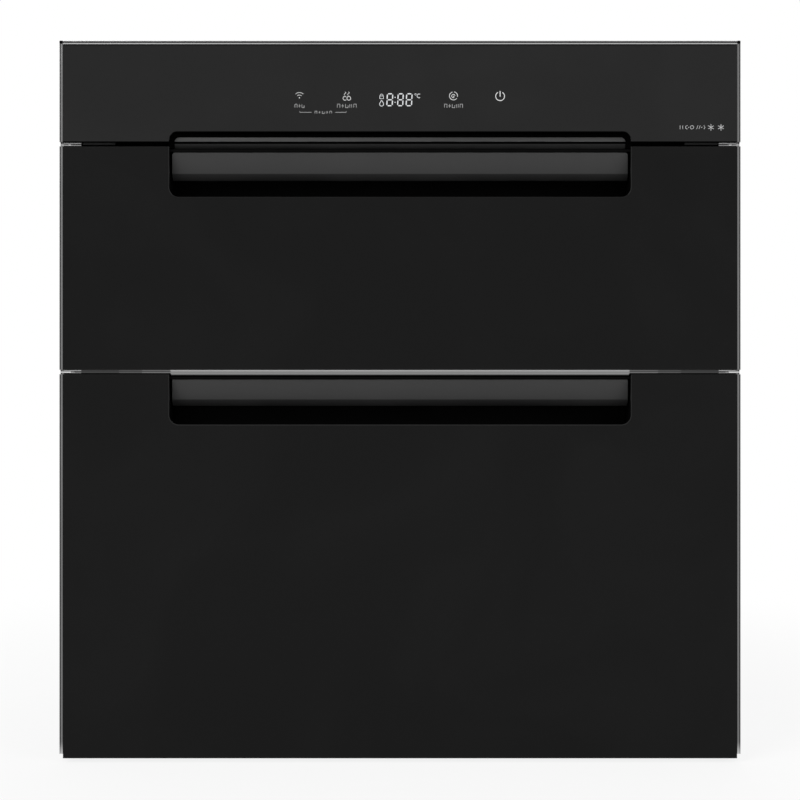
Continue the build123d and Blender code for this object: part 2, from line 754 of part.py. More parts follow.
# ---------------------------------------------------------------- drawers
def make_front(name, bottom, top, window_bottom, window_top, trim_bottom, lowest):
    """One drawer front: glass, trims, handle, rails, inner panel and gasket."""
    notch = block(-notch_half, notch_half, y_front, y_glass_back, top - notch_depth, top + notch_corner)
    notch = fillet(notch.edges().filter_by(Axis.Y).group_by(Axis.Z)[0], notch_corner)
    nodes[name + "_glass"] = glass_sheet(bottom, top, notch)

    overlap = (panel_gap - trim_meeting_gap) / 2
    leg_bottom = trim_bottom if lowest else bottom - overlap
    nodes[name + "_side_trims"] = side_trims(trim_bottom, top, leg_bottom, top + overlap)

    # Satin bar with a sloping face and a bevel under it
    bar_top = top - bar_top_drop
    bar_face_end = bar_top - bar_face_height
    bar_bottom = bar_face_end - bar_bevel_height
    section = [
        (y_front + bar_inset_top, bar_top),
        (y_front + bar_inset_bottom, bar_face_end),
        (y_front + bar_inset_bevel, bar_bottom),
        (y_front + bar_inset_back, bar_bottom),
        (y_front + bar_inset_back, bar_top),
    ]
    outline = block(
        -bar_half, bar_half, y_front, y_front + front_depth, bar_bottom, bar_top
    )
    outline = fillet(outline.edges().filter_by(Axis.Y).group_by(Axis.Z)[-1], bar_corner)
    nodes[name + "_handle"] = prism_x(section, -bar_half, bar_half) & outline

    # Pocket: shallow over the gasket, deep under it, with lugs that hold the bar
    pocket_top = top - pocket_top_drop
    pocket_bottom = top - notch_depth - pocket_side_gap - pocket_wall
    deep_top = window_top - pocket_step_clearance
    wall = pocket_wall
    pocket = block(-pocket_half, pocket_half, y_glass_back, y_inner_panel, pocket_bottom, pocket_top)
    pocket += block(-pocket_half, pocket_half, y_glass_back, y_pocket_back, pocket_bottom, deep_top)
    pocket -= block(
        -pocket_inner_half, pocket_inner_half, y_glass_back, y_inner_panel - wall,
        pocket_bottom + wall, pocket_top - wall,
    )
    pocket -= block(
        -pocket_inner_half, pocket_inner_half, y_glass_back, y_pocket_back - wall,
        pocket_bottom + wall, deep_top - wall,
    )
    lug_top = pocket_top - wall
    for x in row(4, lug_spacing):
        pocket += block(
            x - lug_width / 2, x + lug_width / 2, y_front + bar_inset_back, y_inner_panel - wall,
            lug_top - lug_height, lug_top,
        )
    nodes[name + "_handle_pocket"] = pocket

    # Box-section rails between the glass and the inner panel
    low = bottom + rail_end_gap
    high = top - rail_end_gap
    inner = rail_half - rail_width
    stile = block(inner, rail_half, y_leg_back, y_inner_panel, low, high)
    stile -= block(inner + rail_wall, rail_half - rail_wall, y_leg_back + rail_wall,
                   y_inner_panel - rail_wall, low, high)
    sill = block(-inner, inner, y_leg_back, y_inner_panel, low, low + rail_width)
    sill -= block(-inner, inner, y_leg_back + rail_wall, y_inner_panel - rail_wall,
                  low + rail_wall, low + rail_width - rail_wall)
    head = block(pocket_half, inner, y_leg_back, y_inner_panel, high - rail_width, high)
    head -= block(pocket_half, inner, y_leg_back + rail_wall, y_inner_panel - rail_wall,
                  high - rail_width + rail_wall, high - rail_wall)
    nodes[name + "_front_rails"] = Compound(pair(stile) + pair(head) + [sill])

    panel_half = front_half - inner_panel_side_inset
    panel = block(
        -panel_half, panel_half, y_inner_panel, y_gasket,
        bottom + inner_panel_end_inset, top - inner_panel_end_inset,
    )
    slack = inner_panel_slack
    panel -= block(
        -pocket_half - slack, pocket_half + slack, y_inner_panel, y_gasket,
        pocket_bottom - slack, deep_top + slack,
    )
    nodes[name + "_inner_panel"] = panel

    inside = chamber_half + gasket_inset
    outside = inside + gasket_width
    z_in0 = window_bottom - gasket_inset
    z_in1 = window_top + gasket_inset
    gasket = block(-outside, outside, y_gasket, y_flange, z_in0 - gasket_width, z_in1 + gasket_width)
    gasket -= block(-inside, inside, y_gasket, y_flange, z_in0, z_in1)
    nodes[name + "_gasket"] = gasket


def slide_channel(web_face, depth, half_height, opening):
    """A C-section slide member: its web's outer face, its depth and the way it opens."""
    web_end = web_face + opening * slide_sheet
    tip = web_face + opening * depth
    y_end = y_slide + slide_length
    member = block(min(web_face, web_end), max(web_face, web_end), y_slide, y_end, -half_height, half_height)
    for side in (-1, 1):
        z0 = side * half_height
        z1 = side * (half_height - slide_sheet)
        member += block(min(web_face, tip), max(web_face, tip), y_slide, y_end, min(z0, z1), max(z0, z1))
    return member


def make_slides(name, level):
    """The moving members of one drawer's two slides, and the fixed ones, which it returns."""
    half = slide_height / 2
    step = slide_sheet + slide_ball_gap
    outer = slide_channel(chamber_half, slide_outer_depth, half, -1)
    middle = slide_channel(chamber_half - slide_middle_offset, slide_middle_depth, half - step, -1)
    inner = slide_channel(bracket_face, slide_inner_depth, half - 2 * step, 1)
    lift = Pos(0, 0, level)
    nodes[name + "_slide_middle"] = Compound(pair(lift * middle))
    nodes[name + "_slide_inner"] = Compound(pair(lift * inner))
    return pair(lift * outer)


def make_hoop(x, y0, y1, bottom, height):
    """A plate hoop: one bent wire that stands on two cross wires."""
    top = bottom + height - hoop_wire / 2
    corners = [(x, y0, bottom), (x, y0, top), (x, y1, top), (x, y1, bottom)]
    path = FilletPolyline(*corners, radius=hoop_bend)
    return sweep(Plane(corners[0], z_dir=(0, 0, 1)) * Circle(hoop_wire / 2), path=path)


def make_carriage(name, level, basket_height, hoop_height):
    """Brackets on the slides, the drip tray on their ledges and the wire basket on the tray."""
    low = level - slide_height / 2 - bracket_margin
    high = level + slide_height / 2 + bracket_margin
    y_end = y_slide + slide_length - bracket_end_gap
    bracket = block(bracket_inner, bracket_face, y_gasket, y_end, low, high)
    bracket += block(bracket_inner - bracket_ledge, bracket_inner, y_gasket, y_end,
                     low, low + bracket_thickness)
    bracket += block(bracket_inner - bracket_tab, bracket_inner, y_gasket, y_gasket + bracket_thickness,
                     low, high)
    nodes[name + "_slide_brackets"] = Compound(pair(bracket))

    half = bracket_inner - tray_side_gap
    y0 = y_pocket_back + tray_front_gap
    y1 = y_guard_front - guard_gap
    z0 = low + bracket_thickness
    z1 = z0 + tray_height
    tray = block(-half, half, y0, y1, z0, z1)
    inset = tray_sheet
    tray -= block(-half + inset, half - inset, y0 + inset, y1 - inset, z0 + inset, z1)
    nodes[name + "_drip_tray"] = tray

    # Cross wires lie on the tray's rim, long wires on the cross wires
    wires = []
    cross_z = z1 + cross_wire / 2
    floor_z = z1 + cross_wire
    long_z = floor_z + long_wire / 2
    rim_z = z1 + basket_height
    rim_half = half - rim_wire / 2
    rim_y0 = y0 + rim_wire / 2
    rim_y1 = y1 - rim_wire / 2
    in_x = rim_half - rim_wire / 2 - upright_wire / 2
    in_y0 = rim_y0 + rim_wire / 2 + upright_wire / 2
    in_y1 = rim_y1 - rim_wire / 2 - upright_wire / 2
    cross_places = spread(in_y0 + cross_wire, in_y1 - cross_wire, cross_pitch)
    for y in cross_places:
        wires.append(rod("X", -half, half, (y, cross_z), cross_wire))
    long_half = in_x - upright_wire
    long_places = spread(-long_half, long_half, wire_pitch)
    for x in long_places:
        wires.append(rod("Y", in_y0 + cross_wire / 2, in_y1 - cross_wire / 2, (x, long_z), long_wire))
    for x0, x1 in zip(long_places, long_places[1:]):
        for hoop_y0, hoop_y1 in zip(cross_places[1::2], cross_places[2::2]):
            wires.append(make_hoop((x0 + x1) / 2, hoop_y0, hoop_y1, floor_z, hoop_height))
    for x in (-rim_half, rim_half):
        wires.append(rod("Y", y0, y1, (x, rim_z), rim_wire))
    for y in (rim_y0, rim_y1):
        wires.append(rod("X", -rim_half + rim_wire / 2, rim_half - rim_wire / 2, (y, rim_z), rim_wire))
    for y in spread(in_y0 + upright_wire + cross_wire, in_y1 - upright_wire - cross_wire, cross_pitch):
        for x in (-in_x, in_x):
            wires.append(rod("Z", floor_z, rim_z, (x, y), upright_wire))
    for x in spread(-in_x, in_x, upright_spacing):
        for y in (in_y0, in_y1):
            wires.append(rod("Z", z1, rim_z, (x, y), upright_wire))
    nodes[name + "_basket"] = Compound(wires)


def make_drawers():
    """Both drawers; they differ in height, in basket depth and at the lower edge."""
    outers = []
    fronts = (
        ("upper", upper_bottom, upper_top, upper_window_bottom, upper_window_top),
        ("lower", lower_bottom, lower_top, lower_window_bottom, lower_window_top),
    )
    baskets = (
        (upper_basket_height, upper_hoop_height),
        (lower_basket_height, lower_hoop_height),
    )
    for (name, bottom, top, window_bottom, window_top), (basket_height, hoop_height) in zip(fronts, baskets):
        lowest = bottom == lower_bottom
        trim_bottom = bottom + trim_short_end if lowest else bottom
        make_front(name, bottom, top, window_bottom, window_top, trim_bottom, lowest)
        level = window_bottom + slide_floor_gap + slide_height / 2
        outers += make_slides(name, level)
        make_carriage(name, level, basket_height, hoop_height)
    nodes["slide_outer_members"] = Compound(outers)

    strip_half = glass_half - trim_leg_width
    strip_bottom = lower_top + trim_meeting_gap
    nodes["upper_bottom_trim"] = block(
        -strip_half, strip_half, y_glass_back, y_leg_back, strip_bottom, upper_bottom + bottom_trim_lap
    ) + block(
        -bar_half, bar_half, y_glass_back, y_leg_back, strip_bottom - bottom_trim_drop, strip_bottom
    )


make_shell()
make_liner("lower_liner", lower_window_bottom, lower_window_top, grille_levels()[0])
make_liner("upper_liner", upper_window_bottom, upper_window_top, grille_levels()[1])
make_lamps()
make_fan()
make_electronics()
make_control_panel()
make_finger_lip()
make_drawers()

os.makedirs("parts", exist_ok=True)
for node_name, shape in nodes.items():
    export_step(shape, f"parts/{node_name}.step")
print(len(nodes), "nodes, overall depth", round(overall_depth, 2), "body top", round(body_top, 2))
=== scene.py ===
# %% [markdown]
# # A built-in dish sterilizer with two glass drawers
#
# The real object is a kitchen appliance that slides into a cabinet niche. From the front it is
# almost only black glass: a touch panel on top, and two drawer fronts with recessed handles.
# Behind the glass there are sheet-metal walls, ball-bearing slides, wire baskets and lamps.
# All of that comes from a CAD model, which is loaded first and never moved. Blender adds the
# finishes and the small things that a CAD model leaves out: rounded edges, ink, screws, seals.

# %% Load the CAD model as a fixed frame
import json
import math

import bmesh
import bpy
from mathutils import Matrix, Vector


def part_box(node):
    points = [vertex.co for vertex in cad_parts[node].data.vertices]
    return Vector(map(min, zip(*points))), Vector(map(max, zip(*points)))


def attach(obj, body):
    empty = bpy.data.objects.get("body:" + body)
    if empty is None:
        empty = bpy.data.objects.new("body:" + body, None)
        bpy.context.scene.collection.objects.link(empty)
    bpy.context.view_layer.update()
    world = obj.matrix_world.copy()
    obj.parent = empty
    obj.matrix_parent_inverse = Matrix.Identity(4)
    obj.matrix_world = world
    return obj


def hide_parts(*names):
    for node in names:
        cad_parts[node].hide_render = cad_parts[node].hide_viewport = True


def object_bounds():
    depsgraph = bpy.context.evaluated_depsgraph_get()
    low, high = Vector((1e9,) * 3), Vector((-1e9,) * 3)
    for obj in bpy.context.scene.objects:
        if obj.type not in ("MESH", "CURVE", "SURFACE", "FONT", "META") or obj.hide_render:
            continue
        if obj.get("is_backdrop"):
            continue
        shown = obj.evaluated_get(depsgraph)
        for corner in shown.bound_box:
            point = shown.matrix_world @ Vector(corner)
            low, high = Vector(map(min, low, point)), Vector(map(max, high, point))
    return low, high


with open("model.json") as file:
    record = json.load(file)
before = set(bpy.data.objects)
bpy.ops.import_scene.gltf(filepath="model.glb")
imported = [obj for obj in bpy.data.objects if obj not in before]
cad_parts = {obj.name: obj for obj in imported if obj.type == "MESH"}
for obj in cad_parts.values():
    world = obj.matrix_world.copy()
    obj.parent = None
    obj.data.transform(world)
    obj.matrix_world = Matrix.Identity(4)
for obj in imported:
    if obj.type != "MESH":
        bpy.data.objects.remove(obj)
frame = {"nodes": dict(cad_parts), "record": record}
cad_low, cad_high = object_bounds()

MM = 0.001
nodes = frame["nodes"]
print(len(nodes), "CAD nodes, box in mm:", [round(v / MM, 1) for v in (*cad_low, *cad_high)])

# %% [markdown]
# ## Working by hand, in code
#
# In the viewport one would click a face and press a key. A script has no mouse, so a few helpers
# do what the hand does: let go of everything, add a block between two corners, pick faces or
# edges by where they are, and apply a modifier. Operators act on whatever is selected, and the
# CAD nodes are selected after loading, so each helper starts with an empty selection.

# %% Selecting and adding
def let_go():
    """Leaves edit mode and selects nothing."""
    if bpy.context.mode != "OBJECT":
        bpy.ops.object.mode_set(mode="OBJECT")
    bpy.ops.object.select_all(action="DESELECT")


def take(*pieces):
    """Selects only these pieces; the first one is active."""
    let_go()
    for piece in pieces:
        piece.select_set(True)
    bpy.context.view_layer.objects.active = pieces[0]


def settle(piece, name):
    """Names the piece and moves its place, turn and size into its mesh."""
    take(piece)
    bpy.ops.object.transform_apply(location=True, rotation=True, scale=True)
    piece.name = piece.data.name = name
    return piece


def add_block(name, low, high):
    """A cube stretched between two opposite corners."""
    let_go()
    low, high = Vector(low), Vector(high)
    bpy.ops.mesh.primitive_cube_add(size=1, location=(low + high) / 2, scale=high - low)
    return settle(bpy.context.object, name)


# %% Picking parts of a piece, and using a modifier
def pick(piece, kind, wanted):
    """Goes into edit mode with the VERT, EDGE or FACE elements selected whose middle and normal
    pass the test, and returns how many there are."""
    take(piece)
    bpy.ops.object.mode_set(mode="EDIT")
    bpy.ops.mesh.select_mode(type=kind)
    shape = bmesh.from_edit_mesh(piece.data)
    bpy.ops.mesh.select_all(action="DESELECT")
    items = {"VERT": shape.verts, "EDGE": shape.edges, "FACE": shape.faces}[kind]
    count = 0
    for item in items:
        corners = [item.co] if kind == "VERT" else [v.co for v in item.verts]
        middle = sum(corners, Vector()) / len(corners)
        direction = corners[-1] - corners[0] if kind == "EDGE" else item.normal
        if wanted(middle, direction.normalized()):
            item.select_set(True)
            count += 1
    shape.select_flush_mode()
    bmesh.update_edit_mesh(piece.data)
    return count


def use_modifier(piece, kind, **settings):
    """Adds a modifier with these settings and applies it."""
    take(piece)
    modifier = piece.modifiers.new(kind.title(), kind)
    for name, value in settings.items():
        setattr(modifier, name, value)
    bpy.ops.object.modifier_apply(modifier=modifier.name)
    return piece


# %% Cutting and rounding
def cut_out(piece, *cutters):
    """Takes the cutters' shapes out of the piece and throws the cutters away."""
    for cutter in cutters:
        use_modifier(piece, "BOOLEAN", operation="DIFFERENCE", solver="EXACT", object=cutter)
        bpy.data.objects.remove(cutter)
    return piece


def smooth(piece, angle):
    """Shades smoothly across every edge flatter than the angle."""
    take(piece)
    bpy.ops.object.shade_smooth_by_angle(angle=math.radians(angle))
    return piece


def round_edges(piece, radius, segments=3, angle=30):
    """Rounds every edge sharper than the angle. Large faces keep their own normal, so that
    they stay flat to the eye, and only the rounding shades smoothly."""
    use_modifier(piece, "BEVEL", width=radius, segments=segments, limit_method="ANGLE",
                 angle_limit=math.radians(angle))
    smooth(piece, angle)
    return use_modifier(piece, "WEIGHTED_NORMAL", keep_sharp=True, weight=100)


def bevel_edges(piece, wanted, radius, segments, **settings):
    """Rounds the edges that pass the test."""
    pick(piece, "EDGE", wanted)
    bpy.ops.mesh.bevel(offset=radius, segments=segments, affect="EDGES", **settings)
    bpy.ops.object.mode_set(mode="OBJECT")
    return piece


# %% Copying and joining
def copy_to(piece, name, offset=(0, 0, 0)):
    """A copy with its own mesh, moved by the offset."""
    take(piece)
    bpy.ops.object.duplicate(linked=False)
    other = bpy.context.object
    bpy.ops.transform.translate(value=offset)
    return settle(other, name)


def join(name, pieces):
    """One piece out of several."""
    take(*pieces)
    if len(pieces) > 1:
        bpy.ops.object.join()
    return settle(bpy.context.object, name)


# %% [markdown]
# ## Surface patterns as node groups
#
# A finish is hardly ever one flat colour. Brushed metal has streaks, zinc has crystals, moulded
# plastic has a fine grain, and edges and tops collect wear and dust. Each such effect could be
# painted as an image, but a node group needs no file and keeps its true scale everywhere. So
# each effect is built once, reads the piece's own Object coordinates in metres, and is placed in
# the materials with different values. Every pattern puts out a Tone and a Height from 0 to 1.

# %% Building node groups
def new_group(name, inputs, outputs):
    """An empty group with named number inputs and outputs."""
    tree = bpy.data.node_groups.new(name, "ShaderNodeTree")
    for label, value in inputs.items():
        kind = "NodeSocketVector" if isinstance(value, tuple) else "NodeSocketFloat"
        socket = tree.interface.new_socket(name=label, in_out="INPUT", socket_type=kind)
        socket.default_value = value
    for label in outputs:
        tree.interface.new_socket(name=label, in_out="OUTPUT", socket_type="NodeSocketFloat")
    print("pattern:", name, "with", ", ".join(outputs))
    return tree, tree.nodes.new("NodeGroupInput").outputs, tree.nodes.new("NodeGroupOutput").inputs


def feed(tree, sockets, values):
    """Gives sockets, by name or place, a number or colour, or another node's socket."""
    for label, value in values.items():
        if isinstance(value, bpy.types.NodeSocket):
            tree.links.new(value, sockets[label])
        else:
            sockets[label].default_value = value


def put(tree, kind, inputs=None, **settings):
    """Adds a node with these inputs and settings."""
    node = tree.nodes.new("ShaderNode" + kind)
    for name, value in settings.items():
        setattr(node, name, value)
    feed(tree, node.inputs, inputs or {})
    return node


# %% Sums, steps, places and noise
def maths(tree, operation, *values, clamp=False):
    """A Math node's result."""
    return put(tree, "Math", dict(enumerate(values)), operation=operation, use_clamp=clamp).outputs[0]


def soft_step(tree, value, low, high, start=0.0, end=1.0):
    """Maps value from low..high to start..end, smoothly at both ends."""
    inputs = {"Value": value, "From Min": low, "From Max": high, "To Min": start, "To Max": end}
    return put(tree, "MapRange", inputs, interpolation_type="SMOOTHSTEP").outputs[0]


def object_place(tree):
    """The point on the piece, in metres."""
    return put(tree, "TexCoord").outputs["Object"]


def facing(tree, axis):
    """How far the surface faces along one axis, from -1 to 1."""
    normal = put(tree, "NewGeometry").outputs["Normal"]
    return put(tree, "SeparateXYZ", {0: normal}).outputs[axis]


def noise(tree, place, scale, detail, **more):
    """Smooth noise from 0 to 1, with this many spots per metre and finer layers of spots."""
    inputs = {"Vector": place, "Scale": scale, "Detail": detail, **more}
    return put(tree, "TexNoise", inputs).outputs[0]


# %% Brushed streaks
tree, given, made = new_group(
    "brushed_streaks",
    {"Stretch": (6.0, 1500.0, 1500.0), "Stretch on side faces": (1500.0, 6.0, 1500.0)},
    ["Tone", "Height"],
)
sideways = maths(tree, "GREATER_THAN", maths(tree, "ABSOLUTE", facing(tree, "X")), 0.7)
stretch = put(tree, "Mix", {0: sideways, 4: given["Stretch"], 5: given["Stretch on side faces"]},
              data_type="VECTOR").outputs[1]
place = put(tree, "VectorMath", {0: object_place(tree), 1: stretch}, operation="MULTIPLY").outputs[0]
streaks = noise(tree, place, 1.0, 3.0)
feed(tree, made, {"Tone": soft_step(tree, streaks, 0.3, 0.7), "Height": streaks})

# %% Zinc crystals
tree, given, made = new_group("zinc_crystals", {"Crystals per metre": 90.0}, ["Tone", "Height"])
place = object_place(tree)
crystal = put(tree, "TexVoronoi", {"Vector": place, "Scale": given["Crystals per metre"]})
shade = put(tree, "SeparateColor", {0: crystal.outputs["Color"]}).outputs["Red"]
cloud = noise(tree, place, 9.0, 3.0)
mixed = maths(tree, "ADD", maths(tree, "MULTIPLY", shade, 0.55), maths(tree, "MULTIPLY", cloud, 0.45))
feed(tree, made, {"Tone": mixed, "Height": noise(tree, place, 900.0, 2.0)})

# %% Moulded grain
tree, given, made = new_group("moulded_grain", {"Grains per metre": 2500.0}, ["Tone", "Height"])
place = object_place(tree)
grain = noise(tree, place, given["Grains per metre"], 2.0)
cloud = noise(tree, place, 14.0, 4.0)
feed(tree, made, {"Tone": soft_step(tree, cloud, 0.3, 0.7), "Height": grain})

# %% Wiping marks on polished faces
tree, given, made = new_group("wiping_marks", {"Marks per metre": 7.0}, ["Tone", "Height"])
place = object_place(tree)
broad = noise(tree, place, given["Marks per metre"], 5.0, Distortion=1.2)
waves = noise(tree, place, 3.0, 0.0)
feed(tree, made, {"Tone": soft_step(tree, broad, 0.35, 0.75), "Height": waves})

# %% Edge wear
tree, given, made = new_group("edge_wear", {"Width": 0.0012, "Patches per metre": 60.0}, ["Mask"])
soft_normal = put(tree, "Bevel", {"Radius": given["Width"]}, samples=4).outputs[0]
true_normal = put(tree, "NewGeometry").outputs["Normal"]
alike = put(tree, "VectorMath", {0: soft_normal, 1: true_normal}, operation="DOT_PRODUCT").outputs["Value"]
edge = soft_step(tree, alike, 0.99, 0.8)
patches = noise(tree, object_place(tree), given["Patches per metre"], 3.0)
feed(tree, made, {"Mask": maths(tree, "MULTIPLY", edge, soft_step(tree, patches, 0.35, 0.65))})

# %% Settled dust
tree, given, made = new_group("settled_dust", {"Amount": 0.3}, ["Mask"])
upward = soft_step(tree, facing(tree, "Z"), 0.5, 0.95)
flecks = noise(tree, object_place(tree), 35.0, 6.0)
film = maths(tree, "MULTIPLY", upward, soft_step(tree, flecks, 0.35, 0.75))
feed(tree, made, {"Mask": maths(tree, "MULTIPLY", film, given["Amount"])})

# %% A span along one axis, the same on both sides of the middle
tree, given, made = new_group("span_mask", {"Place": 0.0, "Start": 0.0, "End": 0.001}, ["Mask"])
distance = maths(tree, "ABSOLUTE", given["Place"])
past_start = maths(tree, "GREATER_THAN", distance, given["Start"])
before_end = maths(tree, "LESS_THAN", distance, given["End"])
feed(tree, made, {"Mask": maths(tree, "MULTIPLY", past_start, before_end)})

# %% [markdown]
# ## One recipe for all finishes
#
# Every finish on the appliance is the same stack, as on the real thing: a base with two tones
# that the pattern moves between, a roughness that varies with it, worn edges over that, and dust
# on whatever faces up. One function builds the stack, and each material gets its own numbers.
# Values that are the same all over, such as Metallic, are set on the shader itself. Metallic is 0
# until a finish says otherwise.

# %% Placing a pattern, and mixing
def group_node(tree, name, inputs):
    """Places one of the pattern groups."""
    node = tree.nodes.new("ShaderNodeGroup")
    node.node_tree = bpy.data.node_groups[name]
    feed(tree, node.inputs, inputs)
    return node


def mix_colour(tree, factor, first, second):
    """One colour turning into another."""
    return put(tree, "Mix", {0: factor, 6: first, 7: second}, data_type="RGBA").outputs[2]


def mix_number(tree, factor, first, second):
    """One number turning into another."""
    return put(tree, "Mix", {0: factor, 2: first, 3: second}, data_type="FLOAT").outputs[0]


def grey(value, warmth=0.0):
    """A near-neutral colour; warmth shifts it from blue to yellow."""
    return (value * (1 + warmth), value, value * (1 - warmth), 1.0)


# %% The finish builder
DUST_GREY = (0.32, 0.31, 0.29, 1.0)
DUST_ROUGHNESS = 0.9
WEAR_WIDTH = 0.8 * MM       # from an edge to where its wear ends
finishes = {}


def new_material(name):
    """An empty material, its nodes and its shader."""
    material = bpy.data.materials.new(name)
    material.use_nodes = True
    return material, material.node_tree, material.node_tree.nodes["Principled BSDF"]


def greys(low, high, warmth=0.0):
    """Two greys for a pattern to move between."""
    return grey(low, warmth), grey(high, warmth)


def make_finish(name, pattern, settings, tones, roughness, bump, worn=None, dust=0.0, **shader):
    """Adds a material to the finishes: two tones and two roughnesses that follow the pattern,
    a bump in mm, the colour of its worn edges, and how much dust lies on it. shader holds
    constant sockets."""
    material, tree, surface = new_material(name)
    feed(tree, surface.inputs, {label.replace("_", " "): value for label, value in shader.items()})
    marks = group_node(tree, pattern, settings)
    colour = mix_colour(tree, marks.outputs["Tone"], *tones)
    rough = mix_number(tree, marks.outputs["Tone"], *roughness)
    if worn:
        wear = group_node(tree, "edge_wear", {"Width": WEAR_WIDTH}).outputs["Mask"]
        colour = mix_colour(tree, wear, colour, worn)
    if dust:
        film = group_node(tree, "settled_dust", {"Amount": dust}).outputs["Mask"]
        colour = mix_colour(tree, film, colour, DUST_GREY)
        rough = mix_number(tree, film, rough, DUST_ROUGHNESS)
    relief = put(tree, "Bump", {"Height": marks.outputs["Height"], "Distance": bump * MM, "Strength": 1.0})
    feed(tree, surface.inputs, {"Base Color": colour, "Roughness": rough, "Normal": relief.outputs[0]})
    finishes[name] = material
    print(f"finish: {name}, {pattern}, {len(tree.nodes)} nodes")


# %% One short call for each pattern
def moulded(name, grains, *recipe, **extras):
    """A finish with this many grains per metre."""
    make_finish(name, "moulded_grain", {"Grains per metre": grains}, *recipe, **extras)


def crystalline(name, crystals, *recipe, **extras):
    """A finish with this many crystals per metre."""
    make_finish(name, "zinc_crystals", {"Crystals per metre": crystals}, *recipe, **extras)


def polished(name, marks, *recipe, **extras):
    """A finish with this many wiping marks per metre."""
    make_finish(name, "wiping_marks", {"Marks per metre": marks}, *recipe, **extras)


def brushed(name, *recipe, **extras):
    """A brushed finish, with streaks across the front and along the sides."""
    make_finish(name, "brushed_streaks", {}, *recipe, **extras)


# %% [markdown]
# ### Black glass
#
# The fronts are tempered glass with black enamel behind it. Real depth could be had with a clear
# sheet over a black one, but nothing shows through the enamel, so a single dark, very smooth
# surface looks the same and renders without noise. The touch panel's enamel is a little greyer
# than that of the drawers. Wiping marks vary its roughness so that highlights aren't perfect.

# %% Glass and dark plastic finishes
for name, tones in (("black_glass", greys(0.0022, 0.0034)), ("panel_glass", greys(0.0115, 0.0135))):
    polished(name, 7.0, tones, (0.035, 0.075), 0.02, IOR=1.5, Specular_IOR_Level=0.12)
moulded("satin_black", 4000.0, greys(0.030, 0.034), (0.36, 0.46), 0.012, worn=grey(0.10),
        Specular_IOR_Level=0.3)
moulded("black_plastic", 2500.0, greys(0.0010, 0.0018), (0.55, 0.7), 0.04, worn=grey(0.004), dust=0.01,
        Specular_IOR_Level=0.03)
moulded("fan_plastic", 1800.0, greys(0.055, 0.08), (0.5, 0.65), 0.05, worn=grey(0.15), dust=0.4)
polished("display", 7.0, greys(0.03, 0.045), (0.15, 0.25), 0.02)
moulded("board_parts", 3000.0, greys(0.07, 0.12, -0.06), (0.45, 0.6), 0.04, worn=grey(0.25), dust=0.3)

# %% [markdown]
# ### Metals
#
# Four sheets and wires look different although all are grey. The outer box is galvanised steel
# with zinc crystals. The chambers are brushed stainless. Slides and screws are zinc plated, with
# only a fine grain, and the basket wire is drawn and polished. Metal shows what it mirrors, so
# its base colour is the brightness of its reflection.

# %% Sheet, wire and plated finishes
crystalline("galvanised", 95.0, greys(0.31, 0.52, -0.02), (0.42, 0.60), 0.03, worn=grey(0.72),
            dust=0.18, Metallic=1.0)
brushed("stainless", greys(0.50, 0.64, 0.01), (0.24, 0.38), 0.01, worn=grey(0.8), Metallic=1.0)
moulded("slide_steel", 1600.0, greys(0.50, 0.66, -0.03), (0.26, 0.4), 0.02, worn=grey(0.78),
        Metallic=1.0)
moulded("screw_steel", 2500.0, greys(0.42, 0.6, 0.02), (0.28, 0.45), 0.02, worn=grey(0.75),
        Metallic=1.0)
moulded("wire_steel", 900.0, greys(0.60, 0.74), (0.12, 0.22), 0.02, Metallic=1.0)
brushed("spring_steel", greys(0.6, 0.75), (0.15, 0.25), 0.01, Metallic=1.0)
brushed("heater_metal", greys(0.5, 0.68), (0.35, 0.5), 0.02, dust=0.3, Metallic=1.0)

# %% [markdown]
# ### Rubber, ceramic, boards and lamp glass
#
# The remaining finishes are inside. Silicone and rubber are matt with a soft sheen, ceramic is
# chalky, the boards are green lacquer over copper, and the lamps are clear tubes. The heater
# tubes are milky quartz, so only part of the light passes straight through.

# %% The rest of the finishes
moulded("silicone", 1500.0, greys(0.13, 0.18, -0.02), (0.55, 0.7), 0.05, dust=0.15, Sheen_Weight=0.2)
moulded("rubber_feet", 1200.0, greys(0.018, 0.032), (0.7, 0.85), 0.08, worn=grey(0.06), dust=0.3)
moulded("ceramic", 1400.0, (grey(0.76, 0.04), grey(0.84, 0.03)), (0.75, 0.9), 0.06,
        worn=grey(0.6, 0.05))
moulded("white_plastic", 2600.0, greys(0.72, 0.8, 0.01), (0.4, 0.5), 0.03, worn=grey(0.85), dust=0.1)
crystalline("circuit_board", 260.0, ((0.012, 0.10, 0.04, 1.0), (0.03, 0.19, 0.08, 1.0)), (0.25, 0.4),
            0.04, worn=(0.45, 0.42, 0.2, 1.0), dust=0.25)
polished("lamp_glass", 20.0, (grey(0.92, -0.03), grey(0.97, -0.02)), (0.02, 0.08), 0.01, IOR=1.46,
         Transmission_Weight=1.0)
polished("heater_glass", 20.0, greys(0.84, 0.93, 0.02), (0.3, 0.5), 0.01, IOR=1.46,
         Transmission_Weight=0.6)

# %% [markdown]
# ### Anodised trims
#
# Thin aluminium strips frame the glass. Each has a groove along it; a bright band paints a
# highlight on the bead outside the groove, a dark band paints shade in the groove, and a satin
# band lies inside it. The strips could be split into pieces with a material each, but the bands'
# places are known exactly, so one finish finds them: it is told where each band starts and which
# grey it has. The streaks run along the strip, as the extruding die left them, so upright and
# level strips are two materials. The strip over the lower handle is wider, and is painted
# brighter only where the notch lets light in.

# %% Bands across a strip
def between(tree, axis, start, end):
    """1 where the distance in mm along one axis, either way from the middle, is in a span."""
    place = put(tree, "SeparateXYZ", {0: object_place(tree)}).outputs[axis]
    span = {"Place": place, "Start": start * MM, "End": end * MM}
    return group_node(tree, "span_mask", span).outputs["Mask"]


